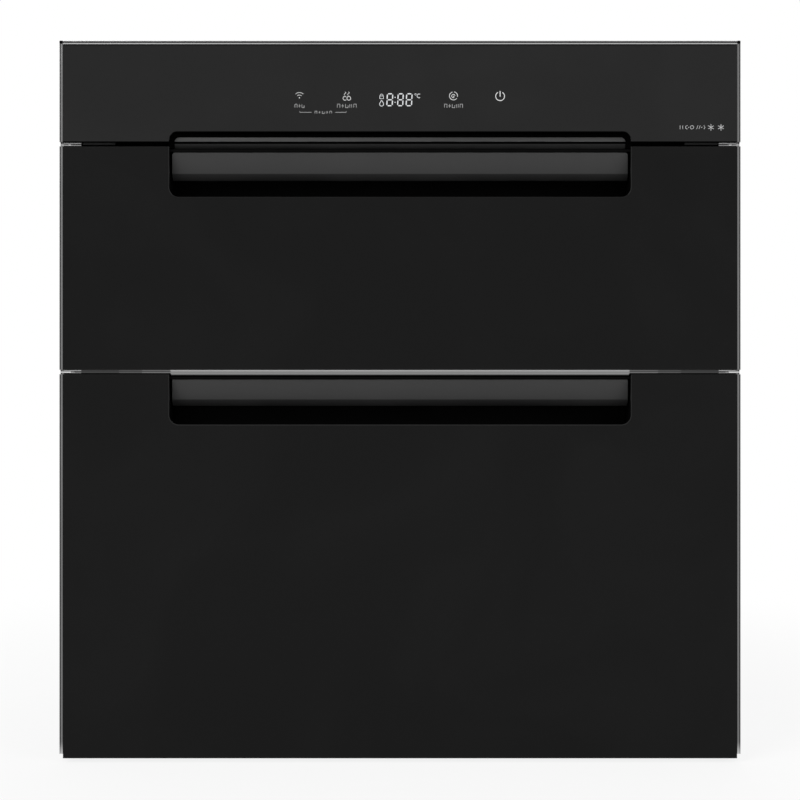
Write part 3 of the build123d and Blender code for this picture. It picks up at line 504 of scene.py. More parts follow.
def lay_over(material, mask, tone):
    """Mixes another grey over a finish where the mask is 1."""
    tree = material.node_tree
    target = tree.nodes["Principled BSDF"].inputs["Base Color"]
    tree.links.new(mix_colour(tree, mask, target.links[0].from_socket, grey(tone)), target)


def add_bands(material, axis, bands, only=None):
    """Lays bands of other greys over a finish: where each starts and ends along one axis, in mm
    from the middle, and its grey. only is an axis and a span that the bands keep to."""
    tree = material.node_tree
    for start, end, tone in bands:
        inside = between(tree, axis, start, end)
        if only:
            inside = maths(tree, "MULTIPLY", inside, between(tree, *only))
        lay_over(material, inside, tone)
    print(f"{material.name}: {len(bands)} bands across {axis}")


def make_trim(name, stretch, tones, axis, bands):
    """Satin anodised aluminium with streaks along the strip and bands of painted highlight and shade across
    it.
    """
    streaks = {"Stretch": stretch, "Stretch on side faces": stretch}
    make_finish(name, "brushed_streaks", streaks, tones, (0.26, 0.36), 0.005, Metallic=1.0)
    add_bands(finishes[name], axis, bands)


ALONG_Z = (900.0, 900.0, 8.0)
ALONG_X = (2.0, 700.0, 700.0)
# The bands paint light: a highlight on the outer bead and shade in the groove of the upright trims, a
# highlight along the top trim's upper edge over darker shaded bands, and shade and highlight lines on the
# strip over the lower handle.
make_trim("trim_aluminium", ALONG_Z, greys(0.19, 0.24), "X",
          [(296.85, 298.0, 0.36), (295.9, 296.85, 0.038), (294.5, 295.1, 0.13)])
make_trim("level_trim", ALONG_X, greys(0.40, 0.46), "Z",
          [(630.45, 630.94, 0.80), (629.65, 630.45, 0.07), (628.8, 629.65, 0.02)])
make_trim("drawer_edge_strip", ALONG_X, greys(0.24, 0.30), "Z",
          [(343.3, 350.0, 0.03), (342.3, 343.3, 0.46), (340.7, 341.5, 0.22), (338.0, 339.9, 0.15)])

# %% [markdown]
# In each gap the trims' legs get two fine painted highlight lines with a dull one between them,
# and painted shade at the floor and top of the gap. The same painted double line runs on along the
# strip over the lower handle, and gets weaker away from it, where less light falls in.

# %% Painted highlight lines and shade in the gaps
LOWER_GAP, UPPER_GAP = 339.5, 538.5      # where the gaps' floors are, in mm
LINE_PLACES = ((-1.0, 1.15), (1.15, 2.0), (2.0, 2.85), (2.85, 3.7), (3.7, 5.0))


def double_line(gap, tones):
    """Painted bands from the floor of a gap upwards: shade, highlight line, dull middle, highlight line,
    shade.
    """
    return [(gap + start, gap + end, tone) for (start, end), tone in zip(LINE_PLACES, tones)]


for gap in (LOWER_GAP, UPPER_GAP):
    add_bands(finishes["trim_aluminium"], "Z", double_line(gap, (0.004, 0.30, 0.07, 0.40, 0.03)),
              only=("X", 270.0, 294.4))
# Away from the handle less light falls in, so the painted lines get weaker.
for start, end, bright, dull in ((201.0, 226.0, 0.17, 0.06), (226.0, 246.0, 0.10, 0.055),
                                 (246.0, 300.0, 0.058, 0.05)):
    add_bands(finishes["drawer_edge_strip"], "Z",
              double_line(LOWER_GAP, (0.003, bright, dull, bright, dull)), only=("X", start, end))

# %% [markdown]
# The sawn edges of the drawers' glass are ground at 45 degrees, and they catch the light, so a thin
# painted glint follows the outline of each front. The finish finds those faces by how far they turn
# away from the front. The touch panel gets the trim's reflection instead, painted as a light band
# with a dark one under it, and the pale ground brightens the lowest part of the upright trims.

# %% Painted glint on the glass edges, and painted reflections
# A lighter grey on the slanted edge faces paints the glint of the ground edges.
EDGE_GLINT = 0.014
tree = finishes["black_glass"].node_tree
turned = maths(tree, "ABSOLUTE", facing(tree, "Y"))
slanted = maths(tree, "MULTIPLY", soft_step(tree, turned, 0.2, 0.4), soft_step(tree, turned, 0.95, 0.85))
lay_over(finishes["black_glass"], slanted, EDGE_GLINT)
# A painted reflection of the top trim on the panel, with painted shade under it.
add_bands(finishes["panel_glass"], "Z", [(627.1, 629.0, 0.05), (626.2, 627.1, 0.0006)])

TRIM_GLOW = 0.62
GLOW_TOP, GLOW_FULL = 20.0 * MM, 4.0 * MM
tree = finishes["trim_aluminium"].node_tree
height = put(tree, "SeparateXYZ", {0: object_place(tree)}).outputs["Z"]
lay_over(finishes["trim_aluminium"], soft_step(tree, height, GLOW_TOP, GLOW_FULL), TRIM_GLOW)
print(len(finishes), "finishes")

# %% [markdown]
# ## Dressing the pieces
#
# The CAD nodes whose shape is right stay and only get a finish. The record names a material slot
# for each, and the finishes have the same names, so a loop does it. Only two level strips get a
# finish of their own. A new piece also has to say
# which body it moves with, and which node it stands for, so one function takes care of that.

# %% Dress the CAD nodes
def dress(piece, finish):
    """Puts one finish on a piece, in the slots it already has or in a new one."""
    if not piece.material_slots:
        piece.data.materials.append(finish)
    for slot in piece.material_slots:
        slot.material = finish
    return piece


OWN_FINISH = {"control_trim_top": "level_trim", "upper_bottom_trim": "drawer_edge_strip"}
for part in frame["record"]["subparts"]:
    name = part["node"]
    dress(nodes[name], finishes[OWN_FINISH.get(name, part["material_slot"])])


# %% Dress a new piece and say what it belongs to
def place_piece(piece, finish, body, *stands_for, slot=None):
    """Gives a new piece its finish and its body, and hides the nodes it stands for. slot is not used."""
    dress(piece, finishes[finish])
    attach(piece, body)
    if stands_for:
        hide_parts(*stands_for)
    print(f"{piece.name}: {len(piece.data.polygons)} faces, on {body}")
    return piece


def dress_faces(piece, finish, wanted):
    """Gives some faces of a piece a second finish."""
    piece.data.materials.append(finishes[finish])
    count = pick(piece, "FACE", wanted)
    piece.active_material_index = len(piece.material_slots) - 1
    bpy.ops.object.material_slot_assign()
    bpy.ops.object.mode_set(mode="OBJECT")
    print(f"{piece.name}: {count} faces in {finish}")


# %% [markdown]
# ## The touch panel's glass
#
# The real panel is one sheet with a shallow notch over the handle, and ground edges. Its signs
# are printed on it, and ink has to lie on something, so the sheet is set a tenth of a millimetre
# back and the ink takes that room. The notch could be drawn as an outline and filled. Cutting
# it with a rounded block is quicker to change, and gives the same clean corners.

# %% Panel glass with its notch
NEAR = 0.1 * MM             # places closer than this count as the same
PAST = 1.0 * MM             # how far a cutter reaches past what it cuts
INK_ROOM = 0.10 * MM
NOTCH_HALF = 201.7 * MM
NOTCH_TOP = 551.3 * MM
NOTCH_CORNER = 7.0 * MM
PANEL_EDGE = 0.5 * MM
FACES_DOWN = -0.3           # up part of the normal; lower than this, a face looks down
low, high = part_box("control_glass")
panel = add_block("panel_glass_sheet", (low.x, low.y + INK_ROOM, low.z), high)
notch = add_block("notch_cutter", (-NOTCH_HALF, low.y - PAST, low.z - PAST),
                  (NOTCH_HALF, high.y + PAST, NOTCH_TOP))
bevel_edges(notch, lambda m, d: abs(d.y) > 0.9 and m.z > NOTCH_TOP - NEAR, NOTCH_CORNER, 10)
cut_out(panel, notch)
round_edges(panel, PANEL_EDGE, 2)
place_piece(panel, "panel_glass", "cabinet", "control_glass", slot="black_glass")
# Faces of the panel that look down, such as the notch's top edge, get near-black plastic as painted shade.
dress_faces(panel, "black_plastic", lambda m, n: n.z < FACES_DOWN)

# %% [markdown]
# ## Handle bars
#
# Each drawer is pulled by a bar across its notch. The bar's face slopes back towards the fingers
# and ends in a steeper bevel, and its corners are rounded. In the viewport that is one block
# with a cut across it and two edges pushed back. The CAD bar has the same section, but sharp
# edges, and it is the thin highlight along a rounded edge that makes a bar look moulded.

# %% How a sloping bar with a bevel below is made
BAR_FACE = 17.5 * MM        # height of the sloping face
BAR_TOP_IN = 5.0 * MM       # its top edge behind the glass face
BAR_FOOT_IN = 13.0 * MM     # its bottom edge
BAR_BEVEL_IN = 18.0 * MM    # bottom edge of the bevel
BAR_CORNERS = {"upper": 2.6 * MM, "lower": 1.1 * MM}
BAR_END_IN = 0.6 * MM       # top corners inside the ends of the CAD bar
BAR_FLARE = 1.2 * MM        # how much further out the face's lower corners are
BAR_EDGE = 0.45 * MM        # rounding of all its edges


def push(offset):
    """Moves what is selected in edit mode, and goes back to object mode."""
    bpy.ops.transform.translate(value=offset)
    bpy.ops.object.mode_set(mode="OBJECT")


def cross_cut(piece, level):
    """A level cut all round the piece."""
    pick(piece, "FACE", lambda m, n: True)
    bpy.ops.mesh.bisect(plane_co=(0, 0, level), plane_no=(0, 0, 1))
    bpy.ops.object.mode_set(mode="OBJECT")


def make_bar(name, low, high, face_end, face_in, bevel_in, corner, flare=0.0):
    """A bar whose front has a face down to face_end and a bevel under it; face_in and bevel_in
    are how far those lower edges are pushed back from the bar's front, and flare is how much
    longer the bar is from face_end down."""
    bar = add_block(name, low, high)
    cross_cut(bar, face_end)
    pick(bar, "VERT", lambda m, n: m.y < low.y + NEAR and abs(m.z - face_end) < NEAR)
    push((0, face_in, 0))
    pick(bar, "VERT", lambda m, n: m.y < low.y + NEAR and m.z < low.z + NEAR)
    push((0, bevel_in, 0))
    pick(bar, "VERT", lambda m, n: m.z < face_end + NEAR)
    bpy.ops.transform.resize(value=(1 + flare / high.x, 1, 1), center_override=(0, 0, 0))
    bpy.ops.object.mode_set(mode="OBJECT")
    bevel_edges(bar, lambda m, d: abs(d.z) < 0.1 and abs(d.x) < 0.1 and m.z > high.z - NEAR,
                corner, 8, clamp_overlap=True)
    return round_edges(bar, BAR_EDGE)


# %% Both bars
bars = []
for drawer, corner in BAR_CORNERS.items():
    low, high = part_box(drawer + "_handle")
    low.x, high.x = low.x + BAR_END_IN, high.x - BAR_END_IN
    bar = make_bar(drawer + "_handle_bar", low, high, high.z - BAR_FACE, BAR_FOOT_IN - BAR_TOP_IN,
                   BAR_BEVEL_IN - BAR_TOP_IN, corner, BAR_FLARE)
    bars.append(place_piece(bar, "satin_black", drawer + "_drawer", drawer + "_handle"))

# %% The bevel faces down, so a darker copy of the finish paints shade on it
moulded("bevel_painted_shade", 4000.0, greys(0.009, 0.012), (0.45, 0.55), 0.012, Specular_IOR_Level=0.2)
BEVEL_SLOPE = -0.55
# Faces that look down more steeply than BEVEL_SLOPE get the darker finish as painted shade.
for bar in bars:
    dress_faces(bar, "bevel_painted_shade", lambda m, n: n.z < BEVEL_SLOPE)

# %% [markdown]
# ## Finger lip over the upper handle
#
# A satin lip closes the notch of the touch panel. Its lower edge is cut back so that fingers
# slide in under it, and a fine shadow line parts the face from that bevel. It is the handle
# bar's shape again, only lower. The line is a groove cut along the front, and near-black plastic
# in it paints its shade. The bevel gets the darker finish as painted shade, near-black at its
# foot. The block behind is a separate moulding in dull near-black plastic, which paints the shade
# of the slot round the lip so that it looks black and deep.

# %% Lip with its shadow line, and the block behind it
LIP_HALF = 197.9 * MM
LIP_CORNER = 4.2 * MM
LIP_DEPTH = 8.0 * MM
LIP_TOP = 547.5 * MM
LINE_TOP, LINE_FOOT = 543.8 * MM, 541.6 * MM
LINE_DEPTH = 2.5 * MM
LINE_REACH = 1.144 * MM     # from the groove's middle to just past its upper and lower walls
LIP_SHADE = 537.9 * MM      # the bevel is black from here down
LIP_BEVEL_RUN = 3.0 * MM
LIP_BLOCK_BOTTOM = 539.0 * MM
LIP_BLOCK_EDGE = 0.8 * MM
low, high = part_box("control_finger_lip")
lip_low = Vector((-LIP_HALF, low.y, low.z))
lip_high = Vector((LIP_HALF, low.y + LIP_DEPTH, LIP_TOP))
lip = make_bar("finger_lip", lip_low, lip_high, LINE_FOOT, 0.0, LIP_BEVEL_RUN, LIP_CORNER)
line = add_block("line_cutter", (-LIP_HALF - PAST, low.y - PAST, LINE_FOOT),
                 (LIP_HALF + PAST, low.y + LINE_DEPTH, LINE_TOP))
cut_out(lip, line)
cross_cut(lip, LIP_SHADE)
place_piece(lip, "satin_black", "cabinet", "control_finger_lip")
# Painted shade: the bevel gets the darker finish, and the groove's walls and the foot of the bevel get
# near-black plastic.
dress_faces(lip, "bevel_painted_shade", lambda m, n: m.z < LINE_FOOT)
dress_faces(lip, "black_plastic", lambda m, n: abs(m.z - (LINE_TOP + LINE_FOOT) / 2) < LINE_REACH
            and m.y < low.y + LINE_DEPTH + 5 * NEAR)
dress_faces(lip, "black_plastic", lambda m, n: m.z < LIP_SHADE)

# The block is near-black plastic, which paints the shade of the slot round the lip.
block = add_block("lip_block", (low.x, low.y + LIP_DEPTH, LIP_BLOCK_BOTTOM), high)
round_edges(block, LIP_BLOCK_EDGE, 2)
place_piece(block, "black_plastic", "cabinet", "control_finger_lip", slot="satin_black")

# %% [markdown]
# ## Painted shade strips behind the gaps
#
# The fronts are 4 mm apart, and light would fall through onto the bright steel frame. A near-black
# strip on the frame behind each gap stands for the shade in the gap, so that the gaps look dark.
# Each strip is a block with soft edges. The upper one has two parts, because the lip's block fills the
# middle.

# %% Strips on the frame
STRIP_FRONT, STRIP_BACK = -199.0 * MM, -195.0 * MM
STRIP_END = 290.0 * MM
LIP_BLOCK_END = 205.5 * MM
LOWER_STRIP = (337.6 * MM, 344.8 * MM)
UPPER_STRIP = (537.4 * MM, 551.0 * MM)
STRIP_EDGE = 1.0 * MM
strips = []
for start, end, (foot, top) in (
    (-STRIP_END, STRIP_END, LOWER_STRIP),
    (-STRIP_END, -LIP_BLOCK_END, UPPER_STRIP),
    (LIP_BLOCK_END, STRIP_END, UPPER_STRIP),
):
    strip = add_block("strip", (start, STRIP_FRONT, foot), (end, STRIP_BACK, top))
    strips.append(round_edges(strip, STRIP_EDGE))
# The strips are near-black, as painted shade in the gaps.
place_piece(join("gap_shade_strips", strips), "black_plastic", "cabinet")

# %% [markdown]
# ## Brackets and edge covers
#
# A small grey bracket shows in the upper gap next to each trim's leg: it carries the touch
# panel. The drawers' box-section rails are closed on top by black covers between the glass and
# the inner panel, which show when a drawer is open. Each is shaped once from a block and copied.
# The bracket gets an arm by pushing out one face, and the cover a rim by sinking its middle.

# %% Panel brackets
BRACKET_START, BRACKET_END = 250.0 * MM, 278.6 * MM
BRACKET_FOOT, BRACKET_TOP = 541.0 * MM, 552.0 * MM
BRACKET_FRONT = -218.0 * MM
BRACKET_SHEET = 2.0 * MM
BRACKET_ARM = 12.0 * MM
BRACKET_EDGE = 0.4 * MM
SHADE_START, SHADE_END = 542.7, 560.0    # in mm; the panel shades the bracket there
moulded("bracket_grey", 2500.0, greys(0.026, 0.036), (0.5, 0.6), 0.02, worn=grey(0.08),
        Specular_IOR_Level=0.2)
add_bands(finishes["bracket_grey"], "Z", [(SHADE_START, SHADE_END, 0.003)])
bracket = add_block("bracket", (-BRACKET_END, BRACKET_FRONT, BRACKET_FOOT),
                    (-BRACKET_START, BRACKET_FRONT + BRACKET_SHEET, BRACKET_TOP))
cross_cut(bracket, BRACKET_TOP - BRACKET_SHEET)
pick(bracket, "FACE", lambda m, n: n.y > 0.9 and m.z > BRACKET_TOP - BRACKET_SHEET)
bpy.ops.mesh.extrude_region_move(TRANSFORM_OT_translate={"value": (0, BRACKET_ARM, 0)})
bpy.ops.object.mode_set(mode="OBJECT")
round_edges(bracket, BRACKET_EDGE, 2)
other = copy_to(bracket, "bracket", (BRACKET_START + BRACKET_END, 0, 0))
place_piece(join("panel_brackets", [bracket, other]), "bracket_grey", "cabinet", slot="black_plastic")

# %% Covers over the drawer rails
COVER_START, COVER_END = 205.2 * MM, 291.8 * MM
COVER_FRONT, COVER_BACK = -218.8 * MM, -199.4 * MM
COVER_HEIGHT = 0.9 * MM
COVER_RIM, COVER_SINK = 2.5 * MM, 0.4 * MM
COVER_EDGE = 0.25 * MM
cover = add_block("cover", (-COVER_END, COVER_FRONT, 0), (-COVER_START, COVER_BACK, COVER_HEIGHT))
pick(cover, "FACE", lambda m, n: n.z > 0.9)
bpy.ops.mesh.inset(thickness=COVER_RIM)
push((0, 0, -COVER_SINK))
round_edges(cover, COVER_EDGE, 2)
for drawer in ("upper", "lower"):
    rail_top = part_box(drawer + "_front_rails")[1].z
    pair = [copy_to(cover, "cover", (x, 0, rail_top)) for x in (0, COVER_START + COVER_END)]
    place_piece(join(drawer + "_rail_covers", pair), "black_plastic", drawer + "_drawer")
bpy.data.objects.remove(cover)

# %% [markdown]
# ## Corner caps
#
# Where the top trim meets the side trims, a small black cap closes each mitre. A flat patch of
# black would do from the front. A little block with rounded edges also looks right from above.

# %% Two caps
GLASS_HALF, FRONT_HALF = 294.5 * MM, 297.5 * MM
CAP_FOOT, CAP_TOP = 628.0 * MM, 631.0 * MM
CAP_DEPTH = 22.0 * MM
CAP_EDGE = 0.6 * MM
cap = add_block("corner_cap", (-FRONT_HALF, cad_low.y, CAP_FOOT),
                (-GLASS_HALF, cad_low.y + CAP_DEPTH, CAP_TOP))
round_edges(cap, CAP_EDGE)
other = copy_to(cap, "corner_cap", (FRONT_HALF + GLASS_HALF, 0, 0))
place_piece(join("corner_caps", [cap, other]), "black_plastic", "cabinet")

# %% [markdown]
# ## Signs on the panel
#
# The panel carries a row of thin white touch signs with a clock display in the middle. Signs
# could be a mask in the glass material, but thin strips of real ink stay sharp in any view and
# in an exported mesh. All of them are flat strokes made of bars and arcs, which get a
# thickness of a few hundredths of a millimetre at the end. Pixels of the reference picture give
# their places: one pixel there is 0.8732 mm on the front.

# %% Places on the panel
PIXEL = 0.8732 * MM
PICTURE_MIDDLE = 400.0
PICTURE_FOOT = 758.5
FRONT_FOOT = 4.0 * MM
INK_THICKNESS = 0.06 * MM
INK_LIFT = 0.01 * MM        # between the ink and the glass
INK_PLANE = cad_low.y + INK_ROOM
TIP_SHARE = 0.2             # a stroke is at least this share of its width long between its tips
print("one pixel is", PIXEL / MM, "mm; the ink lies at", round(INK_PLANE / MM, 2), "mm")


def spot(x_px, y_px):
    """A place on the panel for a pixel of the picture, as x and z in metres."""
    return (x_px - PICTURE_MIDDLE) * PIXEL, (PICTURE_FOOT - y_px) * PIXEL + FRONT_FOOT


# %% A straight stroke
def bar_stroke(start, end, width):
    """A flat strip with pointed ends from one spot to another."""
    x0, z0 = start
    x1, z1 = end
    length = math.hypot(x1 - x0, z1 - z0)
    turn = math.atan2(z1 - z0, x1 - x0)
    let_go()
    bpy.ops.mesh.primitive_plane_add(size=1, location=(0, 0, 0))
    stroke = bpy.context.object
    stroke.scale = (max(length - width, width * TIP_SHARE), width, 1)
    bpy.ops.object.transform_apply(scale=True)
    for side in (-1, 1):
        pick(stroke, "EDGE", lambda m, d: m.x * side > 0 and abs(d.y) > 0.9)
        bpy.ops.mesh.extrude_edges_move(TRANSFORM_OT_translate={"value": (side * width / 2, 0, 0)})
        bpy.ops.mesh.merge(type="CENTER")
        bpy.ops.object.mode_set(mode="OBJECT")
    stroke.rotation_euler = (math.pi / 2, -turn, 0)
    stroke.location = ((x0 + x1) / 2, INK_PLANE, (z0 + z1) / 2)
    return settle(stroke, "stroke")


# %% A round stroke
def arc_stroke(centre, radius, start, end, width, steps=28):
    """A flat ring or part of one; angles in degrees, from the right and anticlockwise."""
    let_go()
    bpy.ops.mesh.primitive_circle_add(vertices=steps, radius=radius - width / 2)
    stroke = bpy.context.object

    def outside(middle, direction):
        angle = math.degrees(math.atan2(middle.y, middle.x)) % 360
        return not any(start <= angle + turn <= end for turn in (-360, 0, 360))

    if end - start < 360:
        pick(stroke, "EDGE", outside)
        bpy.ops.mesh.delete(type="EDGE")
        bpy.ops.object.mode_set(mode="OBJECT")
    pick(stroke, "EDGE", lambda m, d: True)
    bpy.ops.mesh.extrude_edges_move()
    share = (radius + width / 2) / (radius - width / 2)
    bpy.ops.transform.resize(value=(share, share, 1), center_override=(0, 0, 0))
    bpy.ops.object.mode_set(mode="OBJECT")
    stroke.rotation_euler = (math.pi / 2, 0, 0)
    stroke.location = (centre[0], INK_PLANE, centre[1])
    return settle(stroke, "stroke")


# %% From strokes to ink
def ink(name, strokes, finish):
    """Joins strokes and gives them the thickness of ink, in front of the glass."""
    piece = join(name, strokes)
    pick(piece, "FACE", lambda m, n: True)
    bpy.ops.mesh.normals_make_consistent(inside=False)
    bpy.ops.object.mode_set(mode="OBJECT")
    use_modifier(piece, "SOLIDIFY", thickness=INK_THICKNESS, offset=0.0)
    pick(piece, "FACE", lambda m, n: True)
    bpy.ops.mesh.normals_make_consistent(inside=False)
    bpy.ops.transform.translate(value=(0, -INK_THICKNESS / 2 - INK_LIFT, 0))
    bpy.ops.object.mode_set(mode="OBJECT")
    return place_piece(piece, finish, "cabinet", slot="white_plastic")


# %% [markdown]
# The printed signs are pale grey ink, and the digits shine through the glass, so they get a weak
# emission. Both are new finishes made with the same builder.

# %% Ink and light
for name, tones in (("ink", greys(0.62, 0.72)), ("dim_ink", greys(0.46, 0.54))):
    moulded(name, 6000.0, tones, (0.5, 0.6), 0.004, Specular_IOR_Level=0.2)
moulded("lit_segment", 3000.0, greys(0.42, 0.50), (0.5, 0.6), 0.004, Specular_IOR_Level=0.2,
        Emission_Color=(0.9, 0.95, 1.0, 1.0), Emission_Strength=0.30)

# %% Clock digits
DIGIT_TOP, DIGIT_FOOT = 93.8, 105.7
DIGIT_SPANS = ((387.1, 392.5), (397.9, 403.0), (406.4, 411.8))
SEGMENT_WIDTH = 0.95 * MM
SEGMENT_GAP = 0.55          # pixels left free at each end of a segment
SLANT = 0.3                 # pixels that the top leans to the right
COLON_WIDTH = 1.0 * MM


def digit_strokes(left, right):
    """The seven segments of an 8."""
    middle = (DIGIT_TOP + DIGIT_FOOT) / 2
    rows = [(DIGIT_TOP, SLANT), (middle, 0.0), (DIGIT_FOOT, -SLANT)]
    strokes = [
        bar_stroke(spot(left + lean + SEGMENT_GAP, y), spot(right + lean - SEGMENT_GAP, y), SEGMENT_WIDTH)
        for y, lean in rows
    ]
    for (y0, lean0), (y1, lean1) in zip(rows, rows[1:]):
        for x in (left, right):
            strokes.append(bar_stroke(
                spot(x + lean0, y0 + SEGMENT_GAP), spot(x + lean1, y1 - SEGMENT_GAP), SEGMENT_WIDTH
            ))
    return strokes


strokes = [s for left, right in DIGIT_SPANS for s in digit_strokes(left, right)]
for y in (97.4, 102.3):
    strokes.append(bar_stroke(spot(394.4, y), spot(395.8, y), COLON_WIDTH))
ink("clock_digits", strokes, "lit_segment")

# %% Signs beside the digits
LINE = 0.5 * MM
FINE = 0.38 * MM
HAIR = 0.30 * MM


def outline(left, top, right, bottom, width):
    """The four sides of a small frame, in pixels of the picture."""
    corners = [spot(left, top), spot(right, top), spot(right, bottom), spot(left, bottom)]
    return [bar_stroke(a, b, width) for a, b in zip(corners, corners[1:] + corners[:1])]


strokes = [
    arc_stroke(spot(381.6, 95.6), 1.5 * PIXEL, 0, 180, FINE, 16),         # lock: shackle
    *outline(379.7, 95.9, 383.5, 98.7, FINE),                             # lock: body
    arc_stroke(spot(381.6, 104.1), 2.0 * PIXEL, 140, 400, LINE, 20),      # drop: round foot
    bar_stroke(spot(379.9, 103.0), spot(381.6, 100.0), LINE),             # drop: left side
    bar_stroke(spot(383.3, 103.0), spot(381.6, 100.0), LINE),             # drop: right side
    arc_stroke(spot(415.5, 94.3), 0.8 * PIXEL, 0, 360, HAIR, 14),         # degree ring
    arc_stroke(spot(419.0, 95.9), 1.9 * PIXEL, 50, 310, LINE, 20),        # degree letter
]
ink("display_signs", strokes, "lit_segment")

# %% Touch signs
signal = [arc_stroke(spot(299.4, 98.0), r * PIXEL, 42, 138, FINE, 48) for r in (3.0, 5.5)]
signal.append(arc_stroke(spot(299.4, 97.8), 0.35 * PIXEL, 0, 360, LINE, 12))

bowl = [
    arc_stroke(spot(344.9, 98.3), 1.9 * PIXEL, 50, 310, LINE, 24),
    arc_stroke(spot(348.8, 98.3), 1.9 * PIXEL, 0, 360, LINE, 24),
]
for x in (345.0, 348.4):
    bowl.append(arc_stroke(spot(x, 94.4), 0.8 * PIXEL, 90, 270, FINE, 12))
    bowl.append(arc_stroke(spot(x, 92.8), 0.8 * PIXEL, 270, 450, FINE, 12))

drying = [
    arc_stroke(spot(453.5, 95.9), 4.0 * PIXEL, 105, 320, LINE, 48),
    arc_stroke(spot(453.5, 95.9), 4.0 * PIXEL, -15, 85, LINE, 48),
    arc_stroke(spot(453.4, 96.0), 1.7 * PIXEL, 20, 300, LINE, 24),
    arc_stroke(spot(453.8, 96.2), 0.35 * PIXEL, 0, 360, FINE, 10),
]

power = [
    arc_stroke(spot(500.1, 96.2), 4.4 * PIXEL, 120, 420, 0.62 * MM, 48),
    bar_stroke(spot(500.1, 90.8), spot(500.1, 96.8), 0.75 * MM),
]
ink("touch_signs", signal + bowl + drying + power, "ink")

# %% [markdown]
# Small signs fill the rest: a caption under each touch sign, a line that ties two of them
# together, and a row of pips with two stars in the lower right corner. A caption is a row of
# four plain marks in turn: an arch, a cross, a cup and two posts. Their strokes are a third of a
# millimetre wide, so from a step away they are only a fine texture.

# %% Captions and the tie between two of them
CAPTION_ROW = 105.9
TIE_ROW = 112.3
MARKS = (
    ((0, 1, 0, 0), (0, 0, 1, 0), (1, 0, 1, 1)),       # arch: left foot, top, right foot
    ((0, 0.5, 1, 0.5), (0.5, 0, 0.5, 1)),             # cross
    ((0, 0, 0, 1), (0, 1, 1, 1), (1, 1, 1, 0.3)),     # cup
    ((0.1, 0, 0.1, 1), (0.8, 0, 0.8, 1)),             # two posts
)


def mark_row(middle, row_px, count, width, height, pitch):
    """Plain marks in a row, in pixels of the picture. Each stroke's ends are shares of the
    mark's width and height, from its upper left corner."""
    strokes = []
    for i in range(count):
        left = middle + (i - (count - 1) / 2) * pitch - width / 2
        top = row_px - height / 2
        for x0, y0, x1, y1 in MARKS[i % len(MARKS)]:
            strokes.append(bar_stroke(spot(left + x0 * width, top + y0 * height),
                                      spot(left + x1 * width, top + y1 * height), HAIR))
    return strokes


small = [
    bar_stroke(spot(299.8, 111.2), spot(299.8, TIE_ROW), HAIR),
    bar_stroke(spot(299.8, TIE_ROW), spot(311.6, TIE_ROW), HAIR),
    bar_stroke(spot(335.2, TIE_ROW), spot(346.2, TIE_ROW), HAIR),
    bar_stroke(spot(346.2, 111.2), spot(346.2, TIE_ROW), HAIR),
    *mark_row(323.3, TIE_ROW, 5, 2.0, 2.4, 3.7),
    *mark_row(299.5, CAPTION_ROW, 3, 2.2, 3.4, 3.5),
    *mark_row(346.8, CAPTION_ROW, 5, 2.6, 3.6, 4.1),
    *mark_row(453.5, CAPTION_ROW, 5, 2.5, 3.6, 3.9),
]
ink("small_signs", small, "dim_ink")

# %% Pips and stars
PIP_ROW = 127.3
PIP_REACH = 1.9             # pixels up and down from the row
pips = []
for x, lean in ((680.1, 0.0), (682.7, 0.0), (697.3, 0.7), (699.6, 0.7)):
    pips.append(bar_stroke(spot(x + lean, PIP_ROW - PIP_REACH), spot(x - lean, PIP_ROW + PIP_REACH), HAIR))
for x, start, end in ((687.2, 80, 280), (692.0, 0, 360), (703.2, 280, 440)):
    pips.append(arc_stroke(spot(x, PIP_ROW), 1.7 * PIXEL, start, end, HAIR, 24))
for x in (688.6, 701.8):
    pips.append(bar_stroke(spot(x - 0.4, PIP_ROW + 0.4), spot(x + 0.4, PIP_ROW - 0.4), LINE))

STAR_SPOTS = (711.0, 721.0)
STAR_RADIUS = 3.3
for x in STAR_SPOTS:
    for turn in range(3):
        a = math.radians(90 + 60 * turn)
        dx, dy = STAR_RADIUS * math.cos(a), STAR_RADIUS * math.sin(a)
        pips.append(bar_stroke(spot(x - dx, PIP_ROW - dy), spot(x + dx, PIP_ROW + dy), FINE))
ink("star_signs", pips, "ink")

# %% [markdown]
# ## Screws
#
# The sheets of the back and the top are held by pan-head screws with a cross recess. One screw
# is modelled: a flat cylinder whose rim is rounded into a pan, a shank, and a cross cut out with
# two thin blocks. It is then copied to each place that the CAD screws take.

# %% One screw, standing on the sheet and pointing up
HEAD_RADIUS, HEAD_HEIGHT = 4.0 * MM, 2.2 * MM
HEAD_ROUNDING = 1.3 * MM
RECESS_HALF, RECESS_HALF_WIDTH, RECESS_DEPTH = 2.1 * MM, 0.45 * MM, 1.3 * MM
SHANK_RADIUS, SHANK_LENGTH = 2.0 * MM, 8.0 * MM


def add_rod(name, radius, foot, top, sides=28):
    """An upright cylinder round the Z axis."""
    let_go()
    bpy.ops.mesh.primitive_cylinder_add(
        vertices=sides, radius=radius, depth=top - foot, location=(0, 0, (foot + top) / 2)
    )
    return settle(bpy.context.object, name)


def round_rim(rod, radius, top, rounding, segments):
    """Rounds the upper rim of a rod."""
    bevel_edges(rod, lambda m, d: m.z > top - NEAR and m.xy.length > radius * 0.9, rounding, segments)


